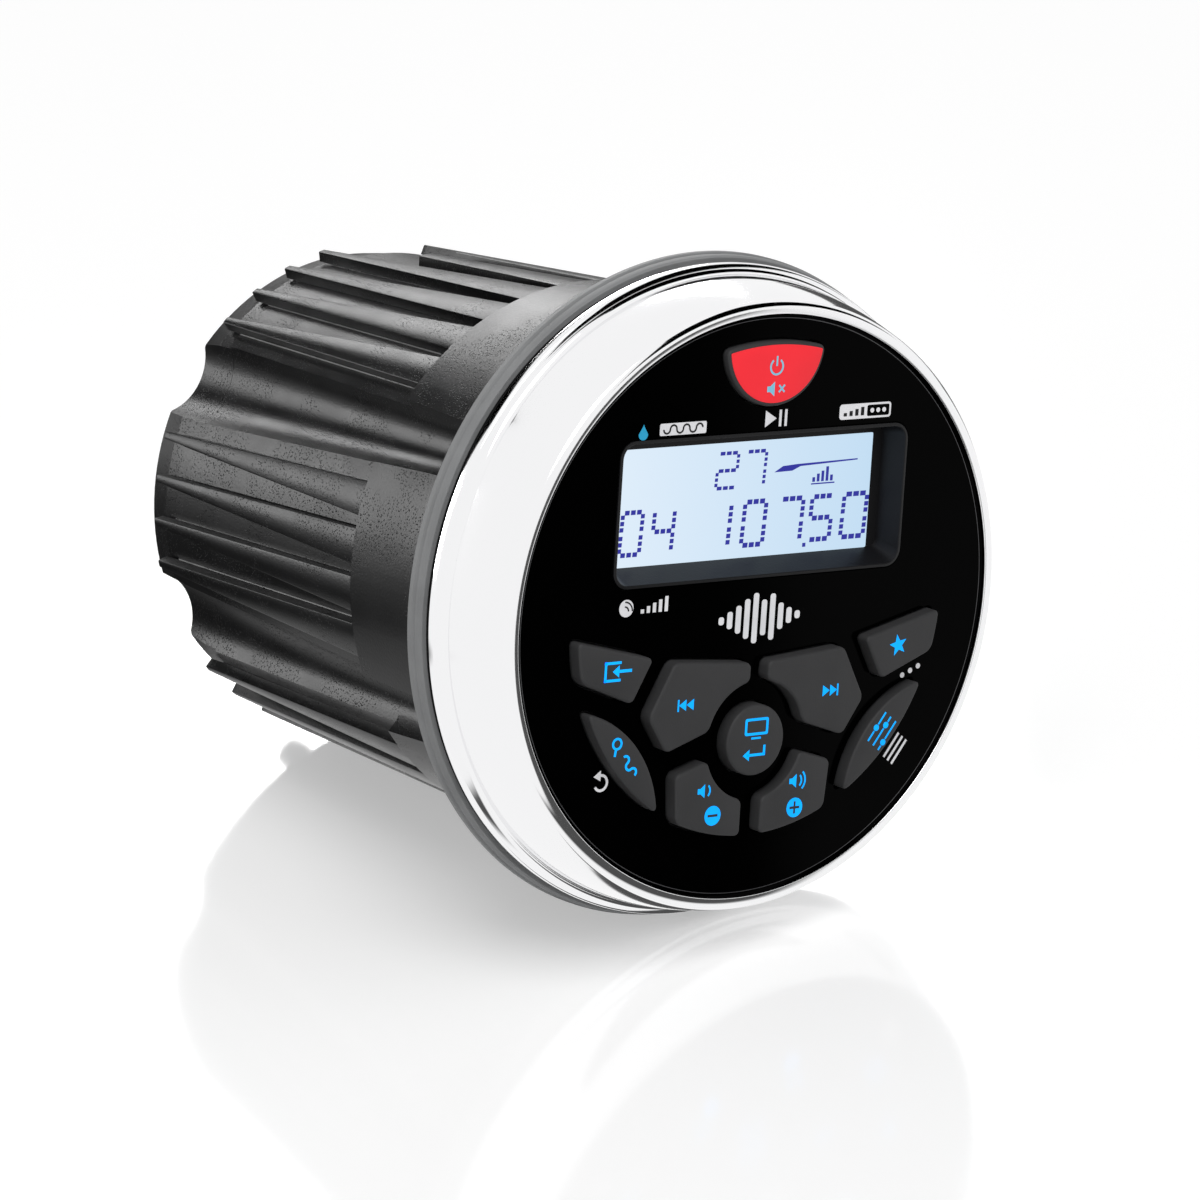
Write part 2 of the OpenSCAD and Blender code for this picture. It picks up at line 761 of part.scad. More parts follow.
// Small board with a shield, between the ribbon's connector and the nearest screw head
module wireless_module() {
  left = plug_w / 2 + 1;
  right = rail_screw_x - board_screw[1] - head_gap;
  front = board_front + 1;
  len = 11;
  rim = 1.5;
  base_t = 1;
  color("#24486e") place() {
    block(left, right, board_y + seat, board_y + base_t, -front - len, -front);
    block(left + rim, right - rim, board_y + base_t - 0.1, board_y + base_t + 1.8,
      -front - len + 1, -front - 4);
  }
}

// Rear cover and what it carries
function cover_place(edge, a) = (spigot_in_r - edge) * [cos(a), sin(a)];
antenna_at = cover_place(9.5, 147);
line_out_at = [cover_place(14.5, 67), cover_place(8.7, 22)];
harness_at = cover_place(17.7, -90);
stud_at = spigot_in_r - stud_edge;
stud_head_r = stud_r + 1.5;
stud_neck_r = stud_r + 0.5;
stud_collar = 1.2;

module rear_cover() {
  color("#222426") place() difference() {
    union() {
      rotate_extrude() polygon([[0, -plate_z], [spigot_in_r, -plate_z], [spigot_in_r, -shell_len + 3],
        [spigot_r, -shell_len + 3], [spigot_r, -cover_z], [cover_r, -cover_z],
        [cover_r - 0.2, -cover_z - 3.5], [cover_rear_r, -rear_z + cover_chamfer],
        [cover_rear_r - cover_chamfer, -rear_z],
        [0, -rear_z]]);
    }
    channels();
    around(4, cover_screw_at) {
      rod(cover_screw[0] + hole_fit, -rear_z - 1, -cover_z + 1);
      rod(cover_screw[1] + fit, -rear_z - 1, -cover_head_z);
    }
    for (s = [-1, 1]) translate([0, s * stud_at, 0]) {
      rod(stud_neck_r + hole_fit, -rear_z - 1, -plate_z + 1);
      rod(stud_head_r + fit, -plate_z, -shell_len + 4);
    }
    translate([antenna_at[0], antenna_at[1], 0]) rod(antenna_r + 1.3 + fit, -rear_z - 1, -plate_z + 1);
    for (p = line_out_at) translate([p[0], p[1], 0]) rod(line_out_r + fit, -rear_z - 1, -plate_z + 1);
    translate([harness_at[0], harness_at[1], 0]) block(-harness_w / 2 - fit, harness_w / 2 + fit,
      -harness_h / 2 - fit, harness_h / 2 + fit, -rear_z - 1, -plate_z + 1);
  }
}

module rear_seal() {
  color("#5a3030") place() difference() {
    ring(collar_r - channel_r(cover_z) - 0.4, bore_rear_r + 0.3, -cover_z + seat, -shell_len - seat);
    around(4, cover_screw_at) rod(cover_screw[0] + fit, -cover_z, -shell_len);
  }
}

module rear_cover_screws() {
  color("#9a9c9e") place() around(4, cover_screw_at) translate([0, 0, -cover_head_z - seat]) mirror([0, 0, 1])
    screw(cover_screw, cover_head_z - shell_len + cover_screw_depth - 1);
}

module antenna_socket() {
  wall = 1.3;
  color("#b8a878") place() translate([antenna_at[0], antenna_at[1], 0]) difference() {
    union() {
      rod(antenna_r + wall, -rear_z - socket_len, -plate_z + 3);
      rod(antenna_r + wall + 1.5, -rear_z - 1.5, -rear_z - seat);
      rod(antenna_r + wall + 1.5, -plate_z + seat, -plate_z + 2);
    }
    rod(antenna_r, -rear_z - socket_len - 1, -plate_z + 1);
  }
}

module line_out_sockets() {
  color("#b8a878") place() for (p = line_out_at) translate([p[0], p[1], 0]) difference() {
    union() {
      rod(line_out_r, -rear_z - socket_len, -plate_z + 3);
      rod(line_out_r + 1.4, -rear_z - 1.2, -rear_z - seat);
      rod(line_out_r + 1.4, -plate_z + seat, -plate_z + 2);
    }
    rod(1.7, -rear_z - socket_len - 1, -plate_z);
  }
}

harness_wall = 1.2;
harness_floor = rear_z - 1;

module harness_socket() {
  color("#e6e2d2") place() translate([harness_at[0], harness_at[1], 0]) difference() {
    union() {
      block(-harness_w / 2, harness_w / 2, -harness_h / 2, harness_h / 2, -rear_z - socket_len, -plate_z + 2);
      block(-harness_w / 2 - 1.5, harness_w / 2 + 1.5, -harness_h / 2 - 1.5, harness_h / 2 + 1.5,
        -plate_z + seat, -plate_z + 2);
    }
    block(harness_wall - harness_w / 2, harness_w / 2 - harness_wall, harness_wall - harness_h / 2,
      harness_h / 2 - harness_wall, -rear_z - socket_len - 1, -harness_floor);
    harness_pin_places() rod(0.5 + hole_fit, -harness_floor - 1, -plate_z + 3);
  }
}

module harness_pin_places() {
  for (i = [0 : 5], s = [-1, 1])
    translate([(i - 2.5) * (harness_w - 2 * harness_wall) / 6.5, s * harness_h / 4.6, 0]) children();
}

module harness_pins() {
  color("#c0a860") place() translate([harness_at[0], harness_at[1], 0]) harness_pin_places()
    rod(0.5, -rear_z - socket_len + 4, -plate_z + 3);
}

module mounting_studs() {
  color("#a8aaac") place() for (s = [-1, 1]) translate([0, s * stud_at, 0]) {
    rod(stud_r, -rear_z - stud_len, -rear_z);
    rod(stud_neck_r, -rear_z - stud_collar, -plate_z + 0.5);
    rod(stud_head_r, -rear_z - stud_collar, -rear_z - seat);
    rod(stud_head_r, -plate_z + seat, -plate_z + 2);
  }
}

housing();
mounting_flange();
flange_gasket();
front_bezel();
bezel_screws();
face_carrier();
carrier_seal();
faceplate();
display_frame();
lcd_glass();
lcd_backlight();
key_power();
key_source();
key_preset();
key_previous();
key_next();
key_band();
key_audio();
key_enter();
key_volume_down();
key_volume_up();
push_switches();
front_board();
front_board_screws();
board_connectors();
ribbon_cable();
main_board();
main_board_screws();
amplifier_chip();
heat_sink();
heat_sink_screws();
tuner_module();
filter_capacitors();
power_choke();
audio_processor();
wireless_module();
rear_cover();
rear_seal();
rear_cover_screws();
antenna_socket();
line_out_sockets();
harness_socket();
harness_pins();
mounting_studs();
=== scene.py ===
"""Looks of a round marine stereo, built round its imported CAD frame.

Points are given as (x, up, out) in millimetres: x to the right, up, and out towards the viewer, with
out = 0 on the panel's surface. P() turns them into the part's frame, where the front faces -Y and up is +Z.
"""

import json
import math

import bmesh
import bpy
import numpy as np
from bpy.props import FloatProperty, FloatVectorProperty, PointerProperty
from mathutils import Matrix, Vector
from mathutils.geometry import tessellate_polygon


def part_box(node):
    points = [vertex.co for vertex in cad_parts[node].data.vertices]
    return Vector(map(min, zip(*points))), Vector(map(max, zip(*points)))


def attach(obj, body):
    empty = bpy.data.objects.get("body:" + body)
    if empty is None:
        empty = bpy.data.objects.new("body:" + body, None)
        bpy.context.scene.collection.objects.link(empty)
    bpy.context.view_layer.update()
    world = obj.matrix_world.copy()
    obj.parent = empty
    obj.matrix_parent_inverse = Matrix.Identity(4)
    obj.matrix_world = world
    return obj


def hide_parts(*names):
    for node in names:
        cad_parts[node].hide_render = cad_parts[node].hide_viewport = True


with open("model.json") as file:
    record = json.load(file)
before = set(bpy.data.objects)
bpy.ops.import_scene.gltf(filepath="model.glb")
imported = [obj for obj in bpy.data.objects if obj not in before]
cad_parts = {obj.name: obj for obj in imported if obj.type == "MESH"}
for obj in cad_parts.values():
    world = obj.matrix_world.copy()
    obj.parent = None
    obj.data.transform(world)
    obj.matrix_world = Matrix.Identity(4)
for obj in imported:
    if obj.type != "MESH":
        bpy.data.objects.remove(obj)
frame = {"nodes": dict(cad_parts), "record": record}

bl_info = {
    "name": "Round Marine Stereo",
    "version": (1, 0, 0),
    "blender": (4, 5, 0),
    "location": "3D View > Sidebar > Stereo",
    "description": "Builds the looks of a round marine stereo round its CAD frame",
    "category": "Object",
}

MM = 0.001

# Millimetres
CLEAR = 0.02        # gap that keeps touching pieces apart
PRINT_T = 0.04      # thickness of a print
PRINT_GAP = 0.005   # gap between a surface and its print


# Sizes and colours


def length(name, description, millimetres):
    """A length property, given in millimetres."""
    return FloatProperty(name=name, description=description, default=millimetres * MM, unit="LENGTH",
                         precision=5)


def srgb(*levels):
    """Linear colour from sRGB levels of 0 to 255."""
    return tuple((v / 255 / 12.92) if v <= 10 else ((v / 255 + 0.055) / 1.055) ** 2.4 for v in levels)


def colour(name, description, *levels):
    """A colour property, given in sRGB levels."""
    return FloatVectorProperty(name=name, description=description, default=srgb(*levels), subtype="COLOR",
                               size=3, min=0, max=1)


class STEREO_PG_sizes(bpy.types.PropertyGroup):
    collar_r: length("Collar Radius", "Radius of the smooth collar behind the panel", 42)
    collar_len: length("Collar Length", "Length of the smooth collar", 26.5)
    rib_len: length("Rib Length", "Length of the ribs behind the collar", 57)
    rib_draft: length("Rib Draft", "How far the ribs draw in towards the rear", 2.4)
    slot_depth: length("Slot Depth", "Depth of the slots between ribs", 1.8)
    slot_front_w: length("Slot Front Width", "Width of a slot at its front end", 2)
    slot_rear_w: length("Slot Rear Width", "Width of a slot at the rib tips", 5.8)
    finger_len: length("Rib Tip Length", "Length of the rib tips over the rear cover", 4.5)
    finger_r: length("Rib Tip Radius", "Inner radius of the rib tips", 38)
    rear_lap: length("Rear Lap", "How far the barrel laps over the rear seal", 0.72)
    channel_front_r: length("Channel Front Radius", "Scallop radius at the panel", 3.95)
    channel_rear_r: length("Channel Rear Radius", "Scallop radius at the rear end", 8.4)
    rear_z: length("Rear Depth", "Depth of the rear cover's face behind the panel", 88.3)
    shell_wall: length("Shell Wall", "Wall between a scallop and the inside", 2.05)
    patch_len: length("Patch Length", "Length of the clear patch at the top rear", 18.8)
    gasket_t: length("Gasket Thickness", "Thickness of the grey sealing ring", 2.95)
    gasket_r: length("Gasket Radius", "Radius of the sealing ring", 50.58)
    brim_r: length("Brim Radius", "Radius of the trim ring's brim", 49.55)
    brim_z: length("Brim Level", "Level of the brim's rear face", 3.9)
    face_r: length("Face Radius", "Radius of the face inside the trim ring", 44)
    face_disc_r: length("Faceplate Radius", "Radius of the faceplate under the lip", 44.8)
    face_z: length("Face Level", "Level of the face in front of the panel", 17.9)
    face_t: length("Face Thickness", "Thickness of the faceplate", 2.5)
    lip_h: length("Lip Height", "How far the lip stands in front of the face", 0.6)
    lip_round: length("Lip Rounding", "Radius of the lip's outer edge", 1.3)
    rim_gap: length("Rim Gap", "Width of the groove between the face and the lip", 0.65)
    rim_depth: length("Rim Depth", "Depth of the groove between the face and the lip", 0.35)
    window_w: length("Window Width", "Width of the display window", 53.2)
    window_h: length("Window Height", "Height of the display window", 20.9)
    window_y: length("Window Place", "Height of the window's centre", 15.45)
    window_round: length("Window Corner", "Corner radius of the window", 2.2)
    lcd_z: length("Display Level", "Level of the display glass's front", 13.9)
    key_h: length("Key Height", "How far the grey keys stand out", 2.1)
    power_h: length("Red Key Height", "How far the red key stands out", 1)
    key_gap: length("Key Gap", "Gap between a key and its hole", 0.35)
    key_round: length("Key Edge", "Rounding of the keys' upper edges", 0.45)
    key_corner: length("Key Corner", "Rounding of the keys' corners", 0.9)
    enter_r: length("Enter Radius", "Radius of the enter key", 5.4)
    ring_r: length("Ring Radius", "Radius of the ring of keys round the enter key", 9.05)
    pad_r: length("Pad Radius", "Radius of the key pad's outer edge", 34.2)
    power_out_r: length("Red Key Top", "Radius of the red key's upper edge", 40.1)
    power_r: length("Red Key Bottom", "Radius of the red key's lower edge", 9.2)
    inlay_edge: length("Inlay Edge", "Dark edge round the red key's top", 0.55)
    plate_t: length("Cover Plate", "Thickness of the rear cover's plate", 3.5)
    socket_len: length("Socket Length", "How far the sockets stand out of the rear cover", 8)
    antenna_r: length("Antenna Bore", "Bore radius of the antenna socket", 4.2)
    antenna_wall: length("Antenna Wall", "Wall of the antenna socket", 1.3)
    line_out_r: length("Line-out Radius", "Radius of the line-out sockets", 4.15)
    line_out_bore: length("Line-out Bore", "Radius of the hole for a plug's pin", 1.7)
    stud_r: length("Stud Radius", "Radius of the mounting studs' thread", 2.5)
    stud_pitch: length("Stud Pitch", "Pitch of the studs' thread", 0.8)
    stud_len: length("Stud Length", "How far the studs stand out of the rear cover", 14)
    stud_collar_r: length("Stud Collar", "Radius of the studs' collars", 4)
    stud_collar_t: length("Stud Collar Thickness", "Thickness of the studs' collars", 1.2)


class STEREO_PG_colours(bpy.types.PropertyGroup):
    barrel: colour("Barrel", "Black moulded plastic of the barrel", 12, 12, 13)
    gasket: colour("Gasket", "Grey rubber of the sealing ring", 142, 143, 144)
    chrome: colour("Chrome", "Plated trim ring", 243, 243, 244)
    face: colour("Face", "Glossy black face", 1, 1, 1)
    key: colour("Key", "Dark grey rubber of the keys", 62, 62, 63)
    power: colour("Red Key", "Red power key", 240, 46, 56)
    legend: colour("Legend", "Light print on the face", 226, 226, 229)
    icon: colour("Icon", "Lit blue symbols on the keys", 0, 158, 255)
    display_left: colour("Display Left", "Lit display at its left end", 224, 238, 251)
    display_right: colour("Display Right", "Lit display at its right end", 194, 221, 243)
    segment: colour("Segment", "Dark blue display segments", 54, 56, 158)


def sizes():
    """The sizes in millimetres, as a plain namespace."""
    group = bpy.context.scene.stereo_sizes
    return type("Sizes", (), {n: getattr(group, n) / MM for n in STEREO_PG_sizes.__annotations__})


# Shapes: a shape is a pair of points (x, up, out) and faces, an outline is a list of (x, up)


def P(x, up, out):
    """A point of the part's frame, in metres."""
    return Vector((x, -out, up)) * MM


def around(r, angle, x=0.0, y=0.0):
    """The point of a circle about (x, y) at an angle in radians."""
    return x + r * math.cos(angle), y + r * math.sin(angle)


def turns(n):
    """Equal steps of a full turn, in radians."""
    return [2 * math.pi * i / n for i in range(n)]


def strip(a, b, m):
    """Faces between two rings of m points that start at a and b."""
    return [(a + i, a + (i + 1) % m, b + (i + 1) % m, b + i) for i in range(m)]


def merge(*shapes):
    """Several shapes as one."""
    points, faces = [], []
    for p, f in shapes:
        faces += [tuple(i + len(points) for i in face) for face in f]
        points += p
    return points, faces


def shifted(shape, x, up):
    """A shape moved in the panel's plane."""
    points, faces = shape
    return [(px + x, py + up, out) for px, py, out in points], faces


def lathe(profile, n=288):
    """A closed profile of (radius, out) turned round the axis."""
    m = len(profile)
    points = [(*around(r, a), out) for a in turns(n) for r, out in profile]
    return points, [face for i in range(n) for face in strip(i * m, (i + 1) % n * m, m)]


def loft(rings, closed=False):
    """Outlines [(outline, out)] with equal point counts, joined in order, with caps or closed in a loop."""
    m, count = len(rings[0][0]), len(rings)
    points = [(x, y, out) for outline, out in rings for x, y in outline]
    faces = []
    for k in range(count if closed else count - 1):
        faces += strip(k * m, (k + 1) % count * m, m)
    if not closed:
        faces += [tuple(range(m)), tuple(range((count - 1) * m, count * m))]
    return points, faces


def rod(r, out0, out1, n):
    """A plain round rod along the axis."""
    return loft([(disc(0, 0, r, n), out0), (disc(0, 0, r, n), out1)])


def ridge(profile, x0, x1):
    """A profile of (up, out) drawn out along x."""
    m = len(profile)
    points = [(x, up, out) for x in (x0, x1) for up, out in profile]
    return points, strip(0, m, m) + [tuple(range(m)), tuple(range(m, 2 * m))]


def slab(outer, out0, out1, holes=()):
    """A flat plate with holes between two levels."""
    loops = [outer, *holes]
    flat = [p for loop in loops for p in loop]
    count = len(flat)
    tris = tessellate_polygon([[Vector((x, y, 0)) for x, y in loop] for loop in loops])
    points = [(x, y, out) for out in (out0, out1) for x, y in flat]
    faces = [tuple(i + first for i in tri) for first in (0, count) for tri in tris]
    start = 0
    for loop in loops:
        faces += strip(start, start + count, len(loop))
        start += len(loop)
    return points, faces


def ink(prints, out):
    """Thin prints that lie on a surface. A print is an outline, or a pair of (outline, [holes])."""
    pairs = [item if isinstance(item, tuple) else (item, ()) for item in prints]
    return merge(*[slab(outline, out, out + PRINT_T, holes) for outline, holes in pairs])


def disc(x, y, r, n=48):
    """A circle."""
    return [around(r, a, x, y) for a in turns(n)]


def rect(x0, y0, x1, y1):
    """A rectangle."""
    return [(x0, y0), (x1, y0), (x1, y1), (x0, y1)]


def round_rect(x0, y0, x1, y1, r, n=10):
    """A rectangle whose corners are rounded in n steps."""
    corners = [(x1 - r, y1 - r, 0), (x0 + r, y1 - r, 90), (x0 + r, y0 + r, 180), (x1 - r, y0 + r, 270)]
    return [around(r, math.radians(a + 90 * i / n), x, y) for x, y, a in corners for i in range(n + 1)]


def arc(x, y, r, a0, a1, w, n=32):
    """A band of width w along an arc, in degrees."""
    angles = [math.radians(a0 + (a1 - a0) * i / n) for i in range(n + 1)]
    return ([around(r + w / 2, a, x, y) for a in angles]
            + [around(r - w / 2, a, x, y) for a in reversed(angles)])


def bar(x0, y0, x1, y1, w):
    """A straight stroke of width w."""
    d = math.hypot(x1 - x0, y1 - y0)
    u, v = (y0 - y1) / d * w / 2, (x1 - x0) / d * w / 2
    return [(x0 + u, y0 + v), (x0 - u, y0 - v), (x1 - u, y1 - v), (x1 + u, y1 + v)]


def moved(outline, x, y, turn=0, scale=1):
    """An outline scaled, turned by degrees and moved."""
    c, s = math.cos(math.radians(turn)) * scale, math.sin(math.radians(turn)) * scale
    return [(x + c * a - s * b, y + s * a + c * b) for a, b in outline]


def piece(name, shape, material, body="base", replaces=(), sharp=32):
    """A new object from a shape that rides on a CAD body."""
    points, faces = shape
    mesh = bpy.data.meshes.new(name)
    mesh.from_pydata([P(*p) for p in points], [], faces)
    work = bmesh.new()
    work.from_mesh(mesh)
    bmesh.ops.recalc_face_normals(work, faces=work.faces)
    work.to_mesh(mesh)
    work.free()
    mesh.polygons.foreach_set("use_smooth", [True] * len(mesh.polygons))
    mesh.set_sharp_from_angle(angle=math.radians(sharp))
    mesh.materials.append(material)
    obj = bpy.data.objects.new(name, mesh)
    bpy.context.scene.collection.objects.link(obj)
    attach(obj, body)
    if replaces:
        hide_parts(*replaces)
    return obj


def bevel(obj, width, limit):
    """Rounds the edges that are sharper than a limit in degrees."""
    edge = obj.modifiers.new("Edges", "BEVEL")
    edge.width, edge.segments, edge.limit_method = width * MM, 2, "ANGLE"
    edge.angle_limit = math.radians(limit)


# Nodes and materials


def plug(tree, socket, value):
    """Links an output to a socket, or sets the socket to a plain value."""
    if isinstance(value, bpy.types.NodeSocket):
        tree.links.new(value, socket)
    else:
        socket.default_value = value


def math_node(tree, operation, *values):
    """The result of a maths node, from outputs or plain values."""
    node = tree.nodes.new("ShaderNodeMath")
    node.operation = operation
    for socket, value in zip(node.inputs, values):
        plug(tree, socket, value)
    return node.outputs[0]


def map_range(tree, value, start, stop, low=0.0, high=1.0, smooth=False):
    """A value taken from one range to another."""
    node = tree.nodes.new("ShaderNodeMapRange")
    if smooth:
        node.interpolation_type = "SMOOTHSTEP"
    for name, given in (("Value", value), ("From Min", start), ("From Max", stop), ("To Min", low),
                        ("To Max", high)):
        plug(tree, node.inputs[name], given)
    return node.outputs["Result"]


def split_xyz(tree, vector):
    """The three parts of a vector."""
    node = tree.nodes.new("ShaderNodeSeparateXYZ")
    tree.links.new(vector, node.inputs[0])
    return node.outputs


def object_place(tree):
    """The place on the object."""
    return tree.nodes.new("ShaderNodeTexCoord").outputs["Object"]


def build_grain(tree, given, result):
    """Moulded grain: a fine height, and a slow change of tone."""
    where = object_place(tree)
    scale = given.outputs["Scale"]
    slow_scale = math_node(tree, "MULTIPLY", scale, 0.04)
    for output, detail, size in (("Height", 3, scale), ("Tone", 2, slow_scale)):
        noise = tree.nodes.new("ShaderNodeTexNoise")
        for name, value in (("Vector", where), ("Detail", detail), ("Scale", size)):
            plug(tree, noise.inputs[name], value)
        tree.links.new(noise.outputs["Fac"], result.inputs[output])


def build_pits(tree, given, result):
    """Small round pits, gathered in patches."""
    where = object_place(tree)
    masks = []
    for kind, scale, level, first, last in (("ShaderNodeTexVoronoi", "Scale", "Distance", 0.3, 0.12),
                                            ("ShaderNodeTexNoise", "Patch Scale", "Fac", 0.44, 0.6)):
        node = tree.nodes.new(kind)
        tree.links.new(where, node.inputs["Vector"])
        tree.links.new(given.outputs[scale], node.inputs["Scale"])
        masks.append(map_range(tree, node.outputs[level], first, last))
    tree.links.new(math_node(tree, "MULTIPLY", *masks), result.inputs["Pits"])


def build_falloff(tree, given, result):
    """A light that falls off from the left to the right of the part."""
    x = split_xyz(tree, object_place(tree))["X"]
    fall = map_range(tree, x, given.outputs["Left"], given.outputs["Right"])
    tree.links.new(fall, result.inputs["Fall"])


def build_rings(tree, given, result):
    """Fine turned lines round the barrel's axis, and a slow change of tone."""
    where = object_place(tree)
    x, y, z = split_xyz(tree, where)
    squares = [math_node(tree, "MULTIPLY", v, v) for v in (x, z)]
    across = math_node(tree, "SQRT", math_node(tree, "ADD", *squares))
    phase = math_node(tree, "MULTIPLY", math_node(tree, "ADD", across, y), given.outputs["Scale"])
    lines = math_node(tree, "MULTIPLY_ADD", math_node(tree, "SINE", phase), 0.5, 0.5)
    tree.links.new(lines, result.inputs["Height"])
    noise = tree.nodes.new("ShaderNodeTexNoise")
    tree.links.new(where, noise.inputs["Vector"])
    noise.inputs["Scale"].default_value = 160
    tree.links.new(noise.outputs["Fac"], result.inputs["Tone"])


# Shared effects: how they are built, their inputs with defaults, and their outputs.
EFFECTS = {
    "Moulded Grain": (build_grain, {"Scale": 900.0}, ["Height", "Tone"]),
    "Turned Lines": (build_rings, {"Scale": 900.0}, ["Height", "Tone"]),
    "Cast Pits": (build_pits, {"Scale": 2400.0, "Patch Scale": 90.0}, ["Pits"]),
    "Side Falloff": (build_falloff, {"Left": 0.0, "Right": 1.0}, ["Fall"]),
}


def effect(tree, name, **values):
    """A shared effect, made once, placed in a material with its own values."""
    shared = bpy.data.node_groups.get(name)
    if shared is None:
        build, inputs, outputs = EFFECTS[name]
        shared = bpy.data.node_groups.new(name, "ShaderNodeTree")
        sockets = shared.interface
        for socket, value in inputs.items():
            sockets.new_socket(socket, in_out="INPUT", socket_type="NodeSocketFloat").default_value = value
        for socket in outputs:
            sockets.new_socket(socket, in_out="OUTPUT", socket_type="NodeSocketFloat")
        build(shared, shared.nodes.new("NodeGroupInput"), shared.nodes.new("NodeGroupOutput"))
    node = tree.nodes.new("ShaderNodeGroup")
    node.node_tree = shared
    for socket, value in values.items():
        node.inputs[socket].default_value = value
    return node.outputs


def tinted(tree, factor, first, second):
    """A colour that runs from one tint to another."""
    node = tree.nodes.new("ShaderNodeMix")
    node.data_type = "RGBA"
    tree.links.new(factor, node.inputs["Factor"])
    colours = [socket for socket in node.inputs if socket.type == "RGBA"]
    for socket, tint in zip(colours, (first, second)):
        socket.default_value = (*tint, 1)
    return next(socket for socket in node.outputs if socket.type == "RGBA")


def blank(name):
    """A new material, its node tree and its shader."""
    made = bpy.data.materials.new(name)
    made.use_nodes = True
    return made, made.node_tree, made.node_tree.nodes["Principled BSDF"]


def material(name, base, rough, metallic=0.0, specular=0.5, grain=900.0, bump=0.03, tone=0.08, vary=0.2,
             pits=0.0, glow=0.0, rings=False):
    """A Principled material whose colour, roughness and height vary with a shared grain or ring effect."""
    made, tree, shader = blank(f"look_{name}")
    surface = effect(tree, "Turned Lines" if rings else "Moulded Grain", Scale=grain)
    dark, light = [v * (1 - vary) for v in base], [min(v * (1 + vary), 1) for v in base]
    shade = tinted(tree, surface["Tone"], dark, light)
    values = {"Base Color": shade, "Metallic": metallic, "Specular IOR Level": specular}
    values["Roughness"] = map_range(tree, surface["Tone"], 0, 1, max(rough - tone, 0.01), rough + tone)
    if glow:
        values["Emission Color"], values["Emission Strength"] = shade, glow
    if bump:
        height = surface["Height"]
        if pits:
            depth = math_node(tree, "MULTIPLY", effect(tree, "Cast Pits")["Pits"], pits)
            height = math_node(tree, "SUBTRACT", height, depth)
        relief = tree.nodes.new("ShaderNodeBump")
        relief.inputs["Distance"].default_value = bump * MM
        tree.links.new(height, relief.inputs["Height"])
        values["Normal"] = relief.outputs["Normal"]
    for socket, value in values.items():
        plug(tree, shader.inputs[socket], value)
    return made


def lit_material(name, left, right, spread):
    """A surface seen by its own light, which falls off from left to right."""
    made, tree, shader = blank(f"look_{name}")
    fall = effect(tree, "Side Falloff", Left=-spread, Right=spread)["Fall"]
    values = {"Base Color": (0, 0, 0, 1), "Roughness": 0.2, "Specular IOR Level": 0.05,
              "Emission Color": tinted(tree, fall, left, right), "Emission Strength": 1}
    for socket, value in values.items():
        plug(tree, shader.inputs[socket], value)
    return made


def printed(base, glow=0.0):
    """Finish of a thin print; a glow is painted light that makes the print look brighter than its lamps make
    it.
    """
    return dict(base=base, rough=0.5, grain=4000, bump=0.004, specular=0.2, glow=glow)


def finishes(c):
    """Finish of each record slot and print, from the scene's colours."""
    return {
        "barrel_plastic": dict(base=c.barrel, rough=0.3, specular=0.16, grain=2600, bump=0.02, pits=5),
        "seal_grey": dict(base=c.gasket, rough=0.6, grain=9000, bump=0.02, specular=0.2, rings=True),
        "seal_inner": dict(base=srgb(34, 30, 30), rough=0.7),
        "trim_chrome": dict(base=c.chrome, rough=0.08, metallic=1, grain=300, bump=0, tone=0.02, vary=0.02),
        "screw_steel": dict(base=srgb(176, 178, 180), rough=0.3, metallic=1, grain=2500, bump=0.01),
        "face_gloss": dict(base=c.face, rough=0.1, specular=0.02, grain=200, bump=0, tone=0.03),
        # Painted highlight: a grey copy of the face for the bead at its edge, in place of the light that the
        # edge catches.
        "painted_edge_highlight": dict(base=srgb(70, 70, 72), rough=0.3, grain=600, bump=0, tone=0.05),
        "frame_plastic": dict(base=srgb(22, 22, 24), rough=0.4, grain=2500, bump=0.02, specular=0.2),
        "diffuser_white": dict(base=srgb(240, 240, 234), rough=0.6),
        # Painted light: the red top glows, so it looks brightly lit under any lamp.
        "key_red": dict(base=c.power, rough=0.5, grain=2500, bump=0.012, specular=0.2, glow=0.42),
        "key_grey": dict(base=c.key, rough=0.55, grain=3000, bump=0.025, specular=0.25),
        "circuit_board": dict(base=srgb(26, 92, 52), rough=0.35, grain=1200, bump=0.01),
        "switch_black": dict(base=srgb(38, 38, 42), rough=0.5),
        "chip_black": dict(base=srgb(27, 27, 29), rough=0.6),
        "connector_cream": dict(base=srgb(228, 222, 204), rough=0.5),
        "ribbon_grey": dict(base=srgb(168, 170, 174), rough=0.55),
        "sink_aluminium": dict(base=srgb(196, 198, 202), rough=0.35, metallic=1, grain=2000, bump=0.01),
        "shield_tin": dict(base=srgb(204, 204, 200), rough=0.25, metallic=1, grain=1500, bump=0.006),
        "capacitor_sleeve": dict(base=srgb(32, 40, 82), rough=0.4),
        "choke_copper": dict(base=srgb(190, 108, 64), rough=0.3, metallic=1, grain=5000, rings=True),
        "module_blue": dict(base=srgb(32, 70, 128), rough=0.4),
        "socket_brass": dict(base=srgb(206, 178, 112), rough=0.25, metallic=1, grain=1800, bump=0.006),
        "insulator_white": dict(base=srgb(222, 222, 216), rough=0.45),
        "insulator_red": dict(base=srgb(178, 30, 34), rough=0.45),
        # Painted light: the light, teal and pale prints glow, so they look brighter than the lamps make them.
        "print_light": printed(c.legend, 0.25),
        "print_blue": printed(c.icon, 0.8),
        "print_teal": printed(srgb(40, 150, 190), 0.4),
        "print_pale": printed(srgb(128, 196, 222), 0.3),
        "print_dark": printed(srgb(20, 20, 22)),
    }


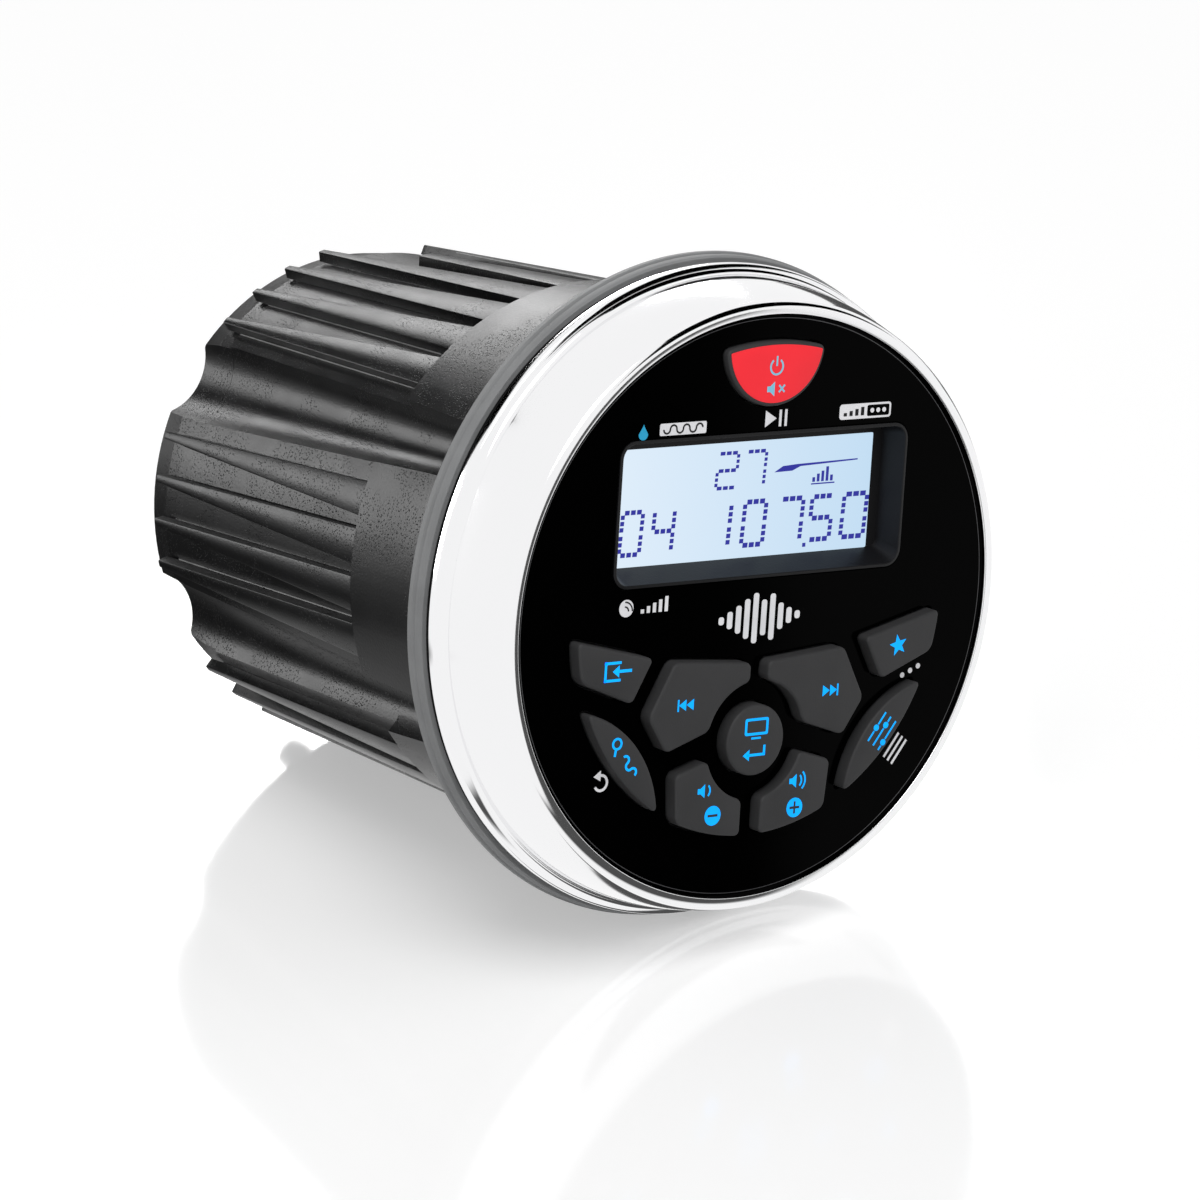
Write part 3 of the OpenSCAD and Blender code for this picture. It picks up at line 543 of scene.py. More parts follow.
def palette(name):
    """The material of a record slot or a print, made once."""
    made = bpy.data.materials.get(f"look_{name}")
    if made:
        return made
    c = bpy.context.scene.stereo_colours
    half = sizes().window_w * MM / 2
    if name == "display_glass":
        return lit_material(name, c.display_left, c.display_right, half)
    if name == "segment":
        return lit_material(name, c.segment, c.segment, half)
    return material(name, **finishes(c)[name])


def dress(node):
    """Gives a CAD node the material of its record slot."""
    slot = next(row["material_slot"] for row in frame["record"]["subparts"] if row["node"] == node)
    obj = frame["nodes"][node]
    obj.data.materials.clear()
    obj.data.materials.append(palette(slot))


# Barrel

PITCH = 10                        # degrees from slot to slot
CHANNELS = (30, 150, 210, 330)    # degrees where a scallop channel takes a slot's place
CHANNEL_COLUMNS = 17
PATCH = (80, 100)                 # degrees of the slots at the clear patch's sides
SLOT_START, SLOT_RISE = -0.05, 0.17   # where the slots start at the collar, and over what length
TIP_TRIM = 0.2                    # how far a rib tip draws in at its end

# Half of a slot's section: share of the half width, offset along the skin, and share of the depth.
SLOT_SHAPE = ((0.0, 0.0, 1.0), (0.5, 0.0, 1.0), (1.0, -0.3, 1.0), (1.0, -0.14, 0.95), (1.0, -0.07, 0.5),
              (1.0, 0.0, 0.04), (1.0, 0.16, 0.0))
FLOOR_SHARE = 0.9                 # points deeper than this belong to a slot's floor


def channel_r(s, d):
    """Radius of the scallops at a depth."""
    return s.channel_front_r + (s.channel_rear_r - s.channel_front_r) * d / s.rear_z


def along_ribs(s, d):
    """How far along the ribs a depth lies, from 0 to 1."""
    return np.clip((d - s.collar_len) / s.rib_len, 0, 1)


def crest_r(s, d):
    """Radius of the ribs' crests at a depth."""
    return s.collar_r - s.rib_draft * along_ribs(s, d)


def slot_hw(s, d):
    """Half width of the slots at a depth."""
    return (s.slot_front_w + (s.slot_rear_w - s.slot_front_w) * along_ribs(s, d)) / 2


def shell_end(s):
    """Depth where the barrel's closed shell ends and the free rib tips start."""
    return s.collar_len + s.rib_len - s.finger_len + s.rear_lap


def barrel_columns(s, d, cut, patch):
    """Angle and radius of each column of the barrel's outer skin along the depths d."""
    crest = crest_r(s, d)
    floor = crest - s.slot_depth * cut
    hw = slot_hw(s, d)
    scallop = channel_r(s, d)
    edge = np.degrees(np.arccos((s.collar_r**2 + floor**2 - scallop**2) / (2 * s.collar_r * floor)))
    columns = []

    def add(degrees, radius, clear=False):
        """Adds a column, cut down to the clear patch where asked."""
        columns.append((np.radians(degrees), np.where(patch, s.finger_r, radius) if clear else radius))

    for centre in range(0, 360, PITCH):
        if centre in CHANNELS:
            for t in np.linspace(-1, 1, CHANNEL_COLUMNS):
                across = s.collar_r * np.sin(np.radians(edge * t))
                height = s.collar_r * np.cos(np.radians(edge * t))
                inner = height - np.sqrt(np.maximum(scallop**2 - across**2, 0))
                add(centre + edge * t, inner if abs(t) < 1 else floor)
            continue
        section = [(0, SLOT_SHAPE[0])]
        after_channel = (centre - PITCH) % 360 in CHANNELS
        before_channel = (centre + PITCH) % 360 in CHANNELS
        if after_channel:
            for t in (0.35, 0.7):
                add(centre - PITCH + edge + (PITCH - edge) * t, floor)
        else:
            section = [(-1, point) for point in reversed(SLOT_SHAPE[1:])] + section
        if not before_channel:
            section += [(1, point) for point in SLOT_SHAPE[1:]]
        for side, (share, offset, depth) in section:
            outer_wall = (centre, side) in ((PATCH[0], -1), (PATCH[1], 1)) and depth < FLOOR_SHARE
            add(centre + side * np.degrees((hw * share + offset) / crest), crest - s.slot_depth * cut * depth,
                PATCH[0] <= centre <= PATCH[1] and not outer_wall)
        if before_channel:
            for t in (0.3, 0.65):
                add(centre + (PITCH - edge) * t, floor)
        else:
            add(np.full(len(d), centre + PITCH / 2), crest, PATCH[0] <= centre < PATCH[1])
    return columns


def barrel_skin(s):
    """The barrel's shell: collar, slots, scallops and clear patch outside, and a plain bore."""
    step, end = s.collar_len, shell_end(s)
    patch_at = s.collar_len + s.rib_len - s.patch_len
    depths = {0, 4, 9, 14, 19, 23, end - 0.3, end}
    depths |= {step + offset for offset in (-0.6, -0.2, -0.05, 0.03, 0.12, 0.3, 0.9)}
    depths |= {patch_at + offset for offset in (-0.4, -0.02, 0.1, 0.6)}
    depths |= {*np.arange(step + 3, patch_at - 1, 3), *np.arange(patch_at + 3, end - 1, 3)}
    d = np.array(sorted(depths))
    cut = np.clip((d - step - SLOT_START) / SLOT_RISE, 0, 1)
    columns = barrel_columns(s, d, cut, d > patch_at)
    rows, m = len(d), len(columns)
    points = [(*around(r[k], a[k]), -d[k]) for k in range(rows) for a, r in columns]
    for k in (-1, 0):
        bore_r = s.collar_r - channel_r(s, d[k]) - s.shell_wall
        points += [(*around(bore_r, a[k]), -d[k]) for a, _ in columns]
    starts = [k * m for k in range(rows + 2)]
    return points, [face for a, b in zip(starts, starts[1:] + [0]) for face in strip(a, b, m)]


def rib_tips(s):
    """The rib ends that reach over the rear cover."""
    start, tip = shell_end(s), s.collar_len + s.rib_len
    depths = np.array([start - CLEAR, start + 1.3, start + 2.6, tip - 0.25, tip])
    crest, hw = crest_r(s, depths), slot_hw(s, depths)
    foot = (s.finger_r, SLOT_SHAPE[3][1])
    shapes = []
    for centre in range(PITCH // 2, 360, PITCH):
        near = [min(abs(centre - c), 360 - abs(centre - c)) for c in CHANNELS]
        if min(near) < PITCH or PATCH[0] < centre < PATCH[1]:
            continue
        rings = []
        for k, depth in enumerate(depths):
            trim = TIP_TRIM if depth == tip else 0
            wall = [(crest[k] - s.slot_depth * share - trim, offset) for _, offset, share in SLOT_SHAPE[4:]]
            half = [(r, math.radians(PITCH / 2) - (hw[k] + offset + trim / 2) / crest[k])
                    for r, offset in (foot, *wall)]
            section = half + [(crest[k] - trim, 0)] + [(r, -a) for r, a in reversed(half)]
            rings.append(([around(r, math.radians(centre) + a) for r, a in section], -depth))
        shapes.append(loft(rings))
    return merge(*shapes)


class STEREO_OT_barrel(bpy.types.Operator):
    """Builds the ribbed barrel and dresses the flange behind the trim ring"""

    bl_idname = "stereo.barrel"
    bl_label = "Build Barrel"

    def execute(self, context):
        s = sizes()
        piece("barrel", merge(barrel_skin(s), rib_tips(s)), palette("barrel_plastic"), replaces=["housing"],
              sharp=28)
        dress("mounting_flange")
        return {"FINISHED"}


# Trim ring and seal

RING_STEPS = 384
LIP_EDGE = 0.14      # rounding of the lip's inner edge
LIP_INSET = 0.75     # from the face's edge out to the centre of the lip's rounding
LIP_END = 10         # degrees where the lip's rounding meets the side
SIDE_BOW = 0.3       # how far the side bows out
BRIM_T = 1.3
FOOT_IN, FOOT_R = 1.6, 1.2     # place and radius of the hollow foot above the brim
BRIM_WALL, HOLLOW_T = 2.35, 3.12   # wall and depth of the hollow behind the brim


def bezel_profile(s):
    """Rounded lip, bowed side, hollow foot and thin brim, with the ring's hollow rear."""
    lip_z = s.face_z + s.lip_h
    lip = (s.face_r + LIP_INSET, lip_z - s.lip_round)
    top_r, top_z = around(s.lip_round, math.radians(LIP_END), *lip)
    edge = s.brim_z + BRIM_T
    foot_r, foot_z = s.brim_r - FOOT_IN, edge + FOOT_IN
    seat, base = s.face_z - s.rim_depth + CLEAR, s.brim_z + CLEAR
    p = [(s.face_r, seat), (s.face_r, lip_z - LIP_EDGE)]
    p += [(s.face_r + LIP_EDGE * (1 - math.cos(a)), lip_z - LIP_EDGE * (1 - math.sin(a)))
          for a in (0.4, 0.8, 1.2, 1.57)]
    p += [around(s.lip_round, math.radians(a), *lip) for a in range(90, LIP_END - 1, -8)]
    p += [(top_r + (foot_r - top_r) * t + SIDE_BOW * math.sin(math.pi * t), top_z + (foot_z - top_z) * t)
          for t in np.linspace(0.05, 0.97, 20)]
    p += [around(FOOT_R, math.radians(a), foot_r + FOOT_R, foot_z) for a in range(180, 256, 7)]
    rim = ((0.34, 0.36), (0.14, 0.22), (0.03, 0.02), (0, -0.2))
    p += [(s.brim_r - inset, edge + up) for inset, up in rim]
    p += [(s.brim_r, s.brim_z + 0.12), (s.brim_r - 0.1, base)]
    hollow_r, hollow_z = s.brim_r - BRIM_WALL, s.brim_z + HOLLOW_T
    bore_r, disc_r, behind = s.face_r - 0.8, s.face_disc_r + 0.2, s.face_z - s.face_t - 0.3
    return p + [(hollow_r, base), (hollow_r, hollow_z), (bore_r, hollow_z), (bore_r, behind),
                (disc_r, behind), (disc_r, seat)]


def seal_profile(s):
    """A ring in two steps, with rounded edges."""
    inner, r, t = s.collar_r + 0.7, s.gasket_r, s.gasket_t
    return [(inner, 0), (r - 0.25, 0), (r - 0.07, 0.06), (r, 0.25), (r - 0.02, t * 0.36),
            (r - 0.12, t * 0.41), (r - 0.3, t * 0.45), (r - 0.27, t * 0.76), (r - 0.36, t * 0.86),
            (r - 0.6, t - CLEAR), (inner, t - CLEAR)]


class STEREO_OT_trim(bpy.types.Operator):
    """Builds the plated trim ring and the grey sealing ring"""

    bl_idname = "stereo.trim"
    bl_label = "Build Trim Ring"

    def execute(self, context):
        s = sizes()
        piece("trim_ring", lathe(bezel_profile(s), RING_STEPS), palette("trim_chrome"),
              replaces=["front_bezel"], sharp=40)
        piece("sealing_ring", lathe(seal_profile(s), RING_STEPS), palette("seal_grey"),
              replaces=["flange_gasket"])
        return {"FINISHED"}


# Signs

WAVE_R = 0.6
SIDE_SIGN, SIDE_TURN = (24.4, -20.4), 53   # place and turn of the sign that runs along the audio key


def speaker(x, y, scale):
    """A loudspeaker: a box with a cone."""
    outline = [(-1.1, -0.45), (-0.5, -0.45), (0.35, -1.15), (0.35, 1.15), (-0.5, 0.45), (-1.1, 0.45)]
    return moved(outline, x, y, 0, scale)


def plus(x, y, reach, hw):
    """A plus sign as one outline."""
    corner = [(reach, -hw), (reach, hw), (hw, hw)]
    return [moved([p], x, y, 90 * k)[0] for k in range(4) for p in corner]


def wave(x, y, halves, w, up):
    """A wave line of half rings, the first of which bends up or down."""
    starts = [0 if up == (k % 2 == 0) else 180 for k in range(halves)]
    return [arc(x + 2 * WAVE_R * k, y, WAVE_R, a, a + 180, w, 12) for k, a in enumerate(starts)]


def bars(x, y, step, w, heights):
    """Upright bars on a base line."""
    return [rect(x + step * k, y, x + step * k + w, y + h) for k, h in enumerate(heights)]


def skip_sign(side):
    """Two arrow heads and a bar that point to one side."""
    x, y = side * 13.6, -13.2
    head = [(side * a, b) for a, b in ((-1.5, 0.85), (-1.5, -0.85), (-0.2, 0))]
    stop = x + side * 1.5
    return [*(moved(head, x + side * ahead, y) for ahead in (0.15, 1.55)),
            rect(stop - 0.14, y - 0.9, stop + 0.14, y + 0.9)]


def volume_sign(x, y, waves):
    """A loudspeaker with sound waves."""
    return [speaker(x, y, 0.9), *(arc(x + 0.2, y, 1.1 + 0.7 * k, -45, 45, 0.28) for k in range(waves))]


def enter_sign():
    """A screen over a return arrow."""
    screen = (round_rect(-2.2, -18.9, 2.2, -16.3, 0.35), [round_rect(-1.8, -18.5, 1.8, -16.7, 0.2)])
    y, w = -21.9, 0.4
    return [screen, rect(-0.9, -19.5, 0.9, -19.2), bar(-1.6, y, 1.9, y, w), bar(1.7, y, 1.7, y + 1.4, w),
            [(-2.3, y), (-1.1, y - 0.85), (-1.1, y + 0.85)]]


def star_sign():
    """A star with five points."""
    points = [around(1.7 if i % 2 == 0 else 1.7 * 0.42, math.radians(90 + 36 * i)) for i in range(10)]
    return [moved(points, 26.4, -7.3, 12)]


def source_sign():
    """An arrow into an open box."""
    x, y, w, wide, high = -29.2, -7.1, 0.4, 3.0, 1.5
    return [rect(x, y - high, x + w, y + high), rect(x, y - high, x + wide, y - high + w),
            rect(x, y + high - w, x + wide, y + high), bar(x + 5, y, x + 2.6, y, 0.45),
            [(x + 1.5, y), (x + 2.7, y + 0.9), (x + 2.7, y - 0.9)]]


def fader_sign():
    """Three faders along the audio key."""
    reach, hw, gap = 2.6, 0.14, 0.62
    shapes = []
    for row, knob in ((-1.3, -1.2), (0, 1.1), (1.3, -0.2)):
        shapes += [rect(-reach, row - hw, knob - gap, row + hw), rect(knob + gap, row - hw, reach, row + hw),
                   disc(knob, row, 0.5, 24)]
    return [moved(shape, *SIDE_SIGN, SIDE_TURN) for shape in shapes]


def band_sign():
    """A search glass and a wave along the band key, which mirrors the audio key."""
    def turned(outline):
        return moved(outline, -SIDE_SIGN[0], SIDE_SIGN[1], -SIDE_TURN)

    glass = (turned(disc(-2.9, 0.15, 0.95)), [turned(disc(-2.9, 0.15, 0.6))])
    handle = turned(bar(-2.3, -0.55, -1.6, -1.25, 0.38))
    return [glass, handle, *(turned(half) for half in wave(0.2, 0, 3, 0.36, True))]


def power_sign():
    """A power sign over a muted loudspeaker."""
    ring, line = arc(0, 36.3, 1.15, 125, 415, 0.3), rect(-0.15, 36.4, 0.15, 37.9)
    return [ring, line, speaker(-0.5, 33.0, 0.95), moved(plus(0, 0, 0.75, 0.14), 1.2, 33.0, 45)]


def key_icons():
    """Generic signs for the keys' tops, by key."""
    return {
        "next": skip_sign(1),
        "previous": skip_sign(-1),
        "volume_up": [*volume_sign(8.0, -26.6, 2), (disc(8.3, -30.7, 1.5), [plus(8.3, -30.7, 0.95, 0.2)])],
        "volume_down": [*volume_sign(-9.4, -26.6, 1),
                        (disc(-7.3, -30.5, 1.5), [rect(-8.25, -30.7, -6.35, -30.3)])],
        "enter": enter_sign(),
        "preset": star_sign(),
        "source": source_sign(),
        "audio": fader_sign(),
        "band": band_sign(),
        "power": power_sign(),
    }


def light_marks():
    """Light prints on the face."""
    play = [[(-0.6, 29.6), (-0.6, 27.1), (1.5, 28.35)], *bars(2.0, 27.1, 1.05, 0.45, (2.5, 2.5))]
    left_pill = round_rect(-20.2, 26.9, -11.6, 28.7, 0.3)
    right_pill = (round_rect(13.5, 27.4, 23.4, 29.7, 0.5), [round_rect(18.8, 27.7, 23.1, 29.4, 0.3)])
    pill_dots = [disc(19.8 + 1.15 * k, 28.55, 0.36, 20) for k in range(3)]
    wireless = [disc(-24.3, 1.65, 1.3), *bars(-21.6, 0.7, 1.1, 0.6, [0.6 + 0.42 * k for k in range(5)])]
    heights = (1.2, 2.6, 4.2, 6.0, 7.6, 5.4, 7.0, 4.0, 2.4, 1.2)
    sound = [round_rect(-6.9 + 1.6 * k, -1.6 - h / 2, -5.9 + 1.6 * k, -1.6 + h / 2, 0.4)
             for k, h in enumerate(heights)]
    back = [arc(-27.0, -24.2, 1.15, -150, 100, 0.4), [(-28.4, -23.2), (-27.1, -22.3), (-27.1, -23.9)]]
    more = [disc(29.4 + 1.5 * k, -12.6 + 0.6 * k, 0.42, 24) for k in range(3)]
    menu = [moved(rect(-2.2, k - 0.2, 2.2, k + 0.2), 29.0, -23.9, SIDE_TURN) for k in (-1.0, 0, 1.0)]
    return [*play, left_pill, right_pill, *pill_dots, *wireless, *sound, *back, *more, *menu]


def dark_marks():
    """Dark prints on the light ones: a wave, rising bars and arcs."""
    rising = bars(14.3, 27.9, 1.1, 0.6, [0.5 + 0.25 * k for k in range(4)])
    arcs = [arc(-24.6, 1.2, 0.7 * k, 0, 90, 0.22, 10) for k in (1, 2)]
    return [*wave(-18.9, 27.8, 6, 0.26, False), *rising, *arcs]


def drop_mark():
    """A water drop, round below and pointed above."""
    r, tall, x, y = 0.85, 1.45, -23.2, 27.3
    outline = []
    for a in turns(40):
        width, height = r * min(1, 1 - 0.9 * math.sin(a)), r if a > math.pi else tall
        outline.append((x + width * math.cos(a), y + height * math.sin(a)))
    return outline


# Keys

ENTER_Y = -19.7
POWER_DROP = 0.57                 # from the red key's top down to the centre of its lower edge
INLAY_T, INLAY_CORNER = 0.12, 0.7
SKIRT_W, SKIRT_T, SKIRT_CORNER = 0.6, 1.2, 0.4   # flange of a key behind the face
SKIRT_GAP = 0.05
STEM_R, STEM_END = 1.5, 12.35
FAR = 40.0                        # further than any key reaches
STEMS = {"power": (0, 35.3), "enter": (0, ENTER_Y), "preset": (27.3, -7.4), "next": (12.6, -13),
         "audio": (23.6, -20.4), "volume_up": (8.4, -29)}
MIRRORED = {"previous": "next", "volume_down": "volume_up", "source": "preset", "band": "audio"}


def key_distance(points, edges, discs, bites, corner):
    """Signed distance, with rounded corners, to the crossing of half planes and discs less other discs."""
    x, y = points
    d = [x * math.cos(math.radians(a)) + y * math.sin(math.radians(a)) - r for a, r in edges]
    d += [np.hypot(x - cx, y - cy) - r for cx, cy, r in discs]
    d += [r - np.hypot(x - cx, y - cy) for cx, cy, r in bites]
    d = np.array(d)
    u = np.maximum(d + corner, 0)
    return np.minimum(d.max(axis=0), -corner) + np.sqrt((u**2).sum(axis=0))


def key_outline(shape, grow, corner, n=320):
    """Outline of a key, found along rays from a point inside it."""
    edges, discs, bites, (cx, cy) = shape
    a = np.linspace(0, 2 * np.pi, n, endpoint=False)
    low, high = np.zeros(n), np.full(n, FAR)
    for _ in range(40):
        mid = (low + high) / 2
        points = cx + mid * np.cos(a), cy + mid * np.sin(a)
        inside = key_distance(points, edges, discs, bites, corner) <= grow
        low, high = np.where(inside, mid, low), np.where(inside, high, mid)
    return list(zip(cx + low * np.cos(a), cy + low * np.sin(a)))


def key_shapes(s):
    """Right-hand keys: straight edges (direction, distance), discs, bites, and a point inside."""
    pad = (0, 0, s.pad_r)
    ring = (0, ENTER_Y, s.ring_r)
    next_edges = [(94.7, -7.95), (28.4, 10.9), (-33.9, 25.2), (251.6, 14), (180, -1.65)]
    power_discs = [(0, s.power_out_r - POWER_DROP, s.power_r), (0, 0, s.power_out_r)]
    return {
        "next": (next_edges, [], [ring], (12.2, -13.2)),
        "volume_up": ([(73.7, -18.8), (-4.7, 16.6), (180, -1.85)], [pad], [ring], (9.4, -28.4)),
        "preset": ([(103.8, -10.4), (-68.5, 20.15), (208.6, -14.85)], [pad], [], (26.6, -7.2)),
        "audio": ([], [(36, -31, 18.4), pad], [], (23.6, -20.6)),
        "enter": ([], [(0, ENTER_Y, s.enter_r)], [], (0, ENTER_Y)),
        "power": ([], power_discs, [], STEMS["power"]),
    }


def outlines(s, grow, corner=None):
    """The outline of every key, grown by a distance."""
    corner = s.key_corner if corner is None else corner
    found = {k: key_outline(shape, grow, corner) for k, shape in key_shapes(s).items()}
    for left, right in MIRRORED.items():
        found[left] = [(-x, y) for x, y in reversed(found[right])]
    return found


class STEREO_OT_keys(bpy.types.Operator):
    """Builds the ten keys with their skirts, stems and lit signs"""

    bl_idname = "stereo.keys"
    bl_label = "Build Keys"

    def execute(self, context):
        s = sizes()
        back = s.face_z - s.face_t
        skirt = outlines(s, s.key_gap + SKIRT_W, SKIRT_CORNER)
        wall = outlines(s, 0)
        icons = key_icons()
        f = s.key_round
        edge = [(outlines(s, -f * (1 - math.cos(a))), f * math.sin(a))
                for a in map(math.radians, range(18, 91, 18))]
        for name in wall:
            red = name == "power"
            top = s.face_z + (s.power_h if red else s.key_h)
            rings = [(skirt[name], back - SKIRT_T), (skirt[name], back - SKIRT_GAP),
                     (wall[name], back - SKIRT_GAP), (wall[name], s.face_z + 0.05), (wall[name], top - f)]
            rings += [(found[name], top - f + up) for found, up in edge]
            x, y = STEMS[MIRRORED.get(name, name)]
            stem = shifted(rod(STEM_R, STEM_END, back - 0.9, 32), -x if name in MIRRORED else x, y)
            body = f"{name}_key"
            piece(f"cap_{name}", merge(loft(rings), stem), palette("key_grey"), body=body,
                  replaces=[f"key_{name}"])
            if red:
                self.inlay(s, body, top)
            piece(f"sign_{name}", ink(icons[name], top + (INLAY_T if red else 0) + PRINT_GAP),
                  palette("print_pale" if red else "print_blue"), body=body)
        return {"FINISHED"}

    def inlay(self, s, body, top):
        """The red top, set into the dark power key."""
        rings = [(outlines(s, -s.inlay_edge - inset, INLAY_CORNER)["power"], top + up)
                 for inset, up in ((0, -0.3), (0, INLAY_T - 0.1), (0.03, INLAY_T - 0.03), (0.1, INLAY_T))]
        piece("inlay_power", loft(rings), palette("key_red"), body=body)


# Face and display

FACE_STEPS = 256
WINDOW_GAP = 0.7               # from the window out to the hole in the faceplate
BEAD_R, BEAD_DROP = 0.07, 0.04    # painted highlight: a grey bead that stands in for the light on the face's edge at its groove
LCD_T = 1.8
LCD_OPENING = (-25.4, 6.75, 23.75, 24.3)   # part of the display that is lit
DASHES, DASH_GAP = 3, 0.28     # dashes of a display segment
LEAN = 0.06                    # how far the digits lean to the right
SEGMENTS = {"0": "abcdef", "1": "bc", "2": "abged", "4": "fgbc", "5": "afgcd", "7": "abc"}

# Rows of digits: base, height, stroke, and each digit with its left edge and width.
DIGIT_ROWS = (
    (8.6, 6.5, 0.75, (("1", -5.4, 2.4), ("0", -0.4, 4.0), ("7", 6.4, 4.3), ("5", 12.4, 4.0),
                      ("0", 18.6, 4.4))),
    (17.5, 5.2, 0.55, (("2", -5.9, 3.7), ("7", -0.6, 3.7))),
    (8.6, 6.3, 0.7, (("0", -23.2, 3.7), ("4", -17.3, 3.7))),
)


def window(s, grow, corner, n=8):
    """Outline of the display window, grown by a distance."""
    x, y = s.window_w / 2 + grow, s.window_h / 2 + grow
    return round_rect(-x, s.window_y - y, x, s.window_y + y, corner, n)


class STEREO_OT_face(bpy.types.Operator):
    """Builds the glossy faceplate with its openings and printed marks"""

    bl_idname = "stereo.face"
    bl_label = "Build Face"

    def execute(self, context):
        s = sizes()
        holes = [window(s, WINDOW_GAP, s.window_round + WINDOW_GAP, 10), *outlines(s, s.key_gap).values()]
        rim_r, step = s.face_r - s.rim_gap, s.face_z - s.rim_depth
        plate = merge(slab(disc(0, 0, s.face_disc_r, FACE_STEPS), s.face_z - s.face_t, step, holes),
                      slab(disc(0, 0, rim_r, FACE_STEPS), step, s.face_z, holes))
        made = piece("face", plate, palette("face_gloss"), replaces=["faceplate"])
        bevel(made, 0.12, 60)
        # Painted highlight: a grey bead stands in for the light on the face's edge at its groove.
        piece("painted_edge_highlight", lathe(disc(rim_r, s.face_z - BEAD_DROP, BEAD_R, 10)), palette("painted_edge_highlight"))
        z = s.face_z + PRINT_GAP
        piece("marks_light", ink(light_marks(), z), palette("print_light"))
        piece("marks_teal", ink([drop_mark()], z), palette("print_teal"))
        piece("marks_dark", ink(dark_marks(), z + PRINT_T), palette("print_dark"))
        return {"FINISHED"}


def digit(char, x, y, w, h, t):
    """Dashed seven-segment digit whose lower left corner is at (x, y)."""
    runs = {"a": (0, h, w, h), "b": (w, h / 2, w, h), "c": (w, 0, w, h / 2), "d": (0, 0, w, 0),
            "e": (0, 0, 0, h / 2), "f": (0, h / 2, 0, h), "g": (0, h / 2, w, h / 2)}
    shapes = []
    for run in SEGMENTS[char]:
        x0, y0, x1, y1 = runs[run]
        size = math.hypot(x1 - x0, y1 - y0)
        ux, uy = (x1 - x0) / size, (y1 - y0) / size
        dash = (size - t * 0.9 - DASH_GAP * (DASHES - 1)) / DASHES
        for k in range(DASHES):
            a = t * 0.45 + k * (dash + DASH_GAP)
            b = a + dash
            outline = bar(x0 + ux * a, y0 + uy * a, x0 + ux * b, y0 + uy * b, t)
            shapes.append([(x + px + LEAN * py, y + py) for px, py in outline])
    return shapes


def display_signs():
    """Digits, a decimal point, a level line and a small bar chart."""
    signs = [shape for y, h, t, row in DIGIT_ROWS for char, x, w in row
             for shape in digit(char, x, y, w, h, t)]
    point = rect(11.4, 7.6, 12.0, 8.2)
    level = [(5.1, 19.3), (8.5, 19.35), (10, 19.95), (21, 20.3), (21, 20.5), (9.4, 20.3), (6.7, 20.15)]
    chart = [*bars(12.5, 17.4, 0.85, 0.5, (0.7, 1.2, 1.6, 2.2, 0.9)), rect(12.3, 17.0, 16.8, 17.2)]
    return [*signs, point, level, *chart]


class STEREO_OT_display(bpy.types.Operator):
    """Builds the sloping window frame and the lit display with its segments"""

    bl_idname = "stereo.display"
    bl_label = "Build Display"

    def execute(self, context):
        s = sizes()
        x, y0, y1 = s.window_w / 2, s.window_y - s.window_h / 2, s.window_y + s.window_h / 2
        r, front, back = s.window_round, s.face_z, s.face_z - s.face_t - CLEAR
        deep = round_rect(-x + 1.1, y0 + 1.75, x - 1.1, y1 - 0.7, 1.2, 8)
        mid = round_rect(-x + 0.75, y0 + 1.2, x - 0.75, y1 - 0.5, 1.5, 8)
        neck, flange = window(s, 0.5, r + 0.5), window(s, 1.6, r + 1.6)
        rings = [(window(s, 0, r), front + 0.12), (window(s, 0.12, r + 0.1), front + 0.18),
                 (neck, front + 0.1), (neck, back), (flange, back), (flange, s.lcd_z), (deep, s.lcd_z),
                 (mid, s.lcd_z + 1.4)]
        piece("window_frame", loft(rings, closed=True), palette("frame_plastic"),
              replaces=["display_frame"], sharp=25)
        glass = slab(rect(-x, y0 + 0.4, x, y1 + 0.4), s.lcd_z - LCD_T, s.lcd_z - CLEAR)
        piece("display_panel", glass, palette("display_glass"), replaces=["lcd_glass"])
        border = slab(rect(-x + 0.3, y0 + 0.5, x - 0.3, y1 - 0.1), s.lcd_z - 0.015, s.lcd_z - 0.005,
                      [round_rect(*LCD_OPENING, 0.3)])
        piece("display_border", border, palette("print_dark"))
        piece("display_signs", ink(display_signs(), s.lcd_z - 0.004), palette("segment"))
        dress("lcd_backlight")
        return {"FINISHED"}


# Rear and inside

REAR = ("rear_cover", "rear_seal", "rear_cover_screws", "harness_socket", "harness_pins")
INSIDE = ("bezel_screws", "face_carrier", "carrier_seal", "push_switches", "front_board",
          "front_board_screws", "board_connectors", "ribbon_cable", "main_board", "main_board_screws",
          "amplifier_chip", "heat_sink", "heat_sink_screws", "tuner_module", "filter_capacitors",
          "power_choke", "audio_processor", "wireless_module")

THREAD_DEPTH = 0.45
STUD_CHAMFER = 0.6
HARNESS_RIM = 1.5              # from the harness socket's box in to its shroud
RELIEF_RING = (30.4, 31.4)
RELIEF_H, SIGN_H = 0.5, 0.3
SUNK = 0.1                     # how deep the relief reaches into the cover


def mount_place(name):
    """Place (x, up) of one of the record's mounts, in millimetres."""
    x, _, up = next(row["pos_m"] for row in frame["record"]["mounts"] if row["name"] == name)
    return x / MM, up / MM


def rear_levels(s):
    """Levels of the rear cover's face and inside, and of the sockets' tips."""
    return -s.rear_z, -s.rear_z + s.plate_t, -s.rear_z - s.socket_len


def threaded_rod(s, start, stop, n=36, steps=8):
    """A rod along the axis with a helical thread and a chamfered end."""
    rings = []
    for depth in np.arange(start, stop + 0.001, s.stud_pitch / steps):
        outline = []
        for i, angle in enumerate(turns(n)):
            phase = ((depth - start) / s.stud_pitch - i / n) % 1
            crest = min(1, max(0, 1.5 * abs(2 * phase - 1) - 0.25))
            r = min(s.stud_r - THREAD_DEPTH * (1 - crest), s.stud_r - STUD_CHAMFER + stop - depth)
            outline.append(around(r, angle))
        rings.append((outline, -depth))
    return loft(rings)


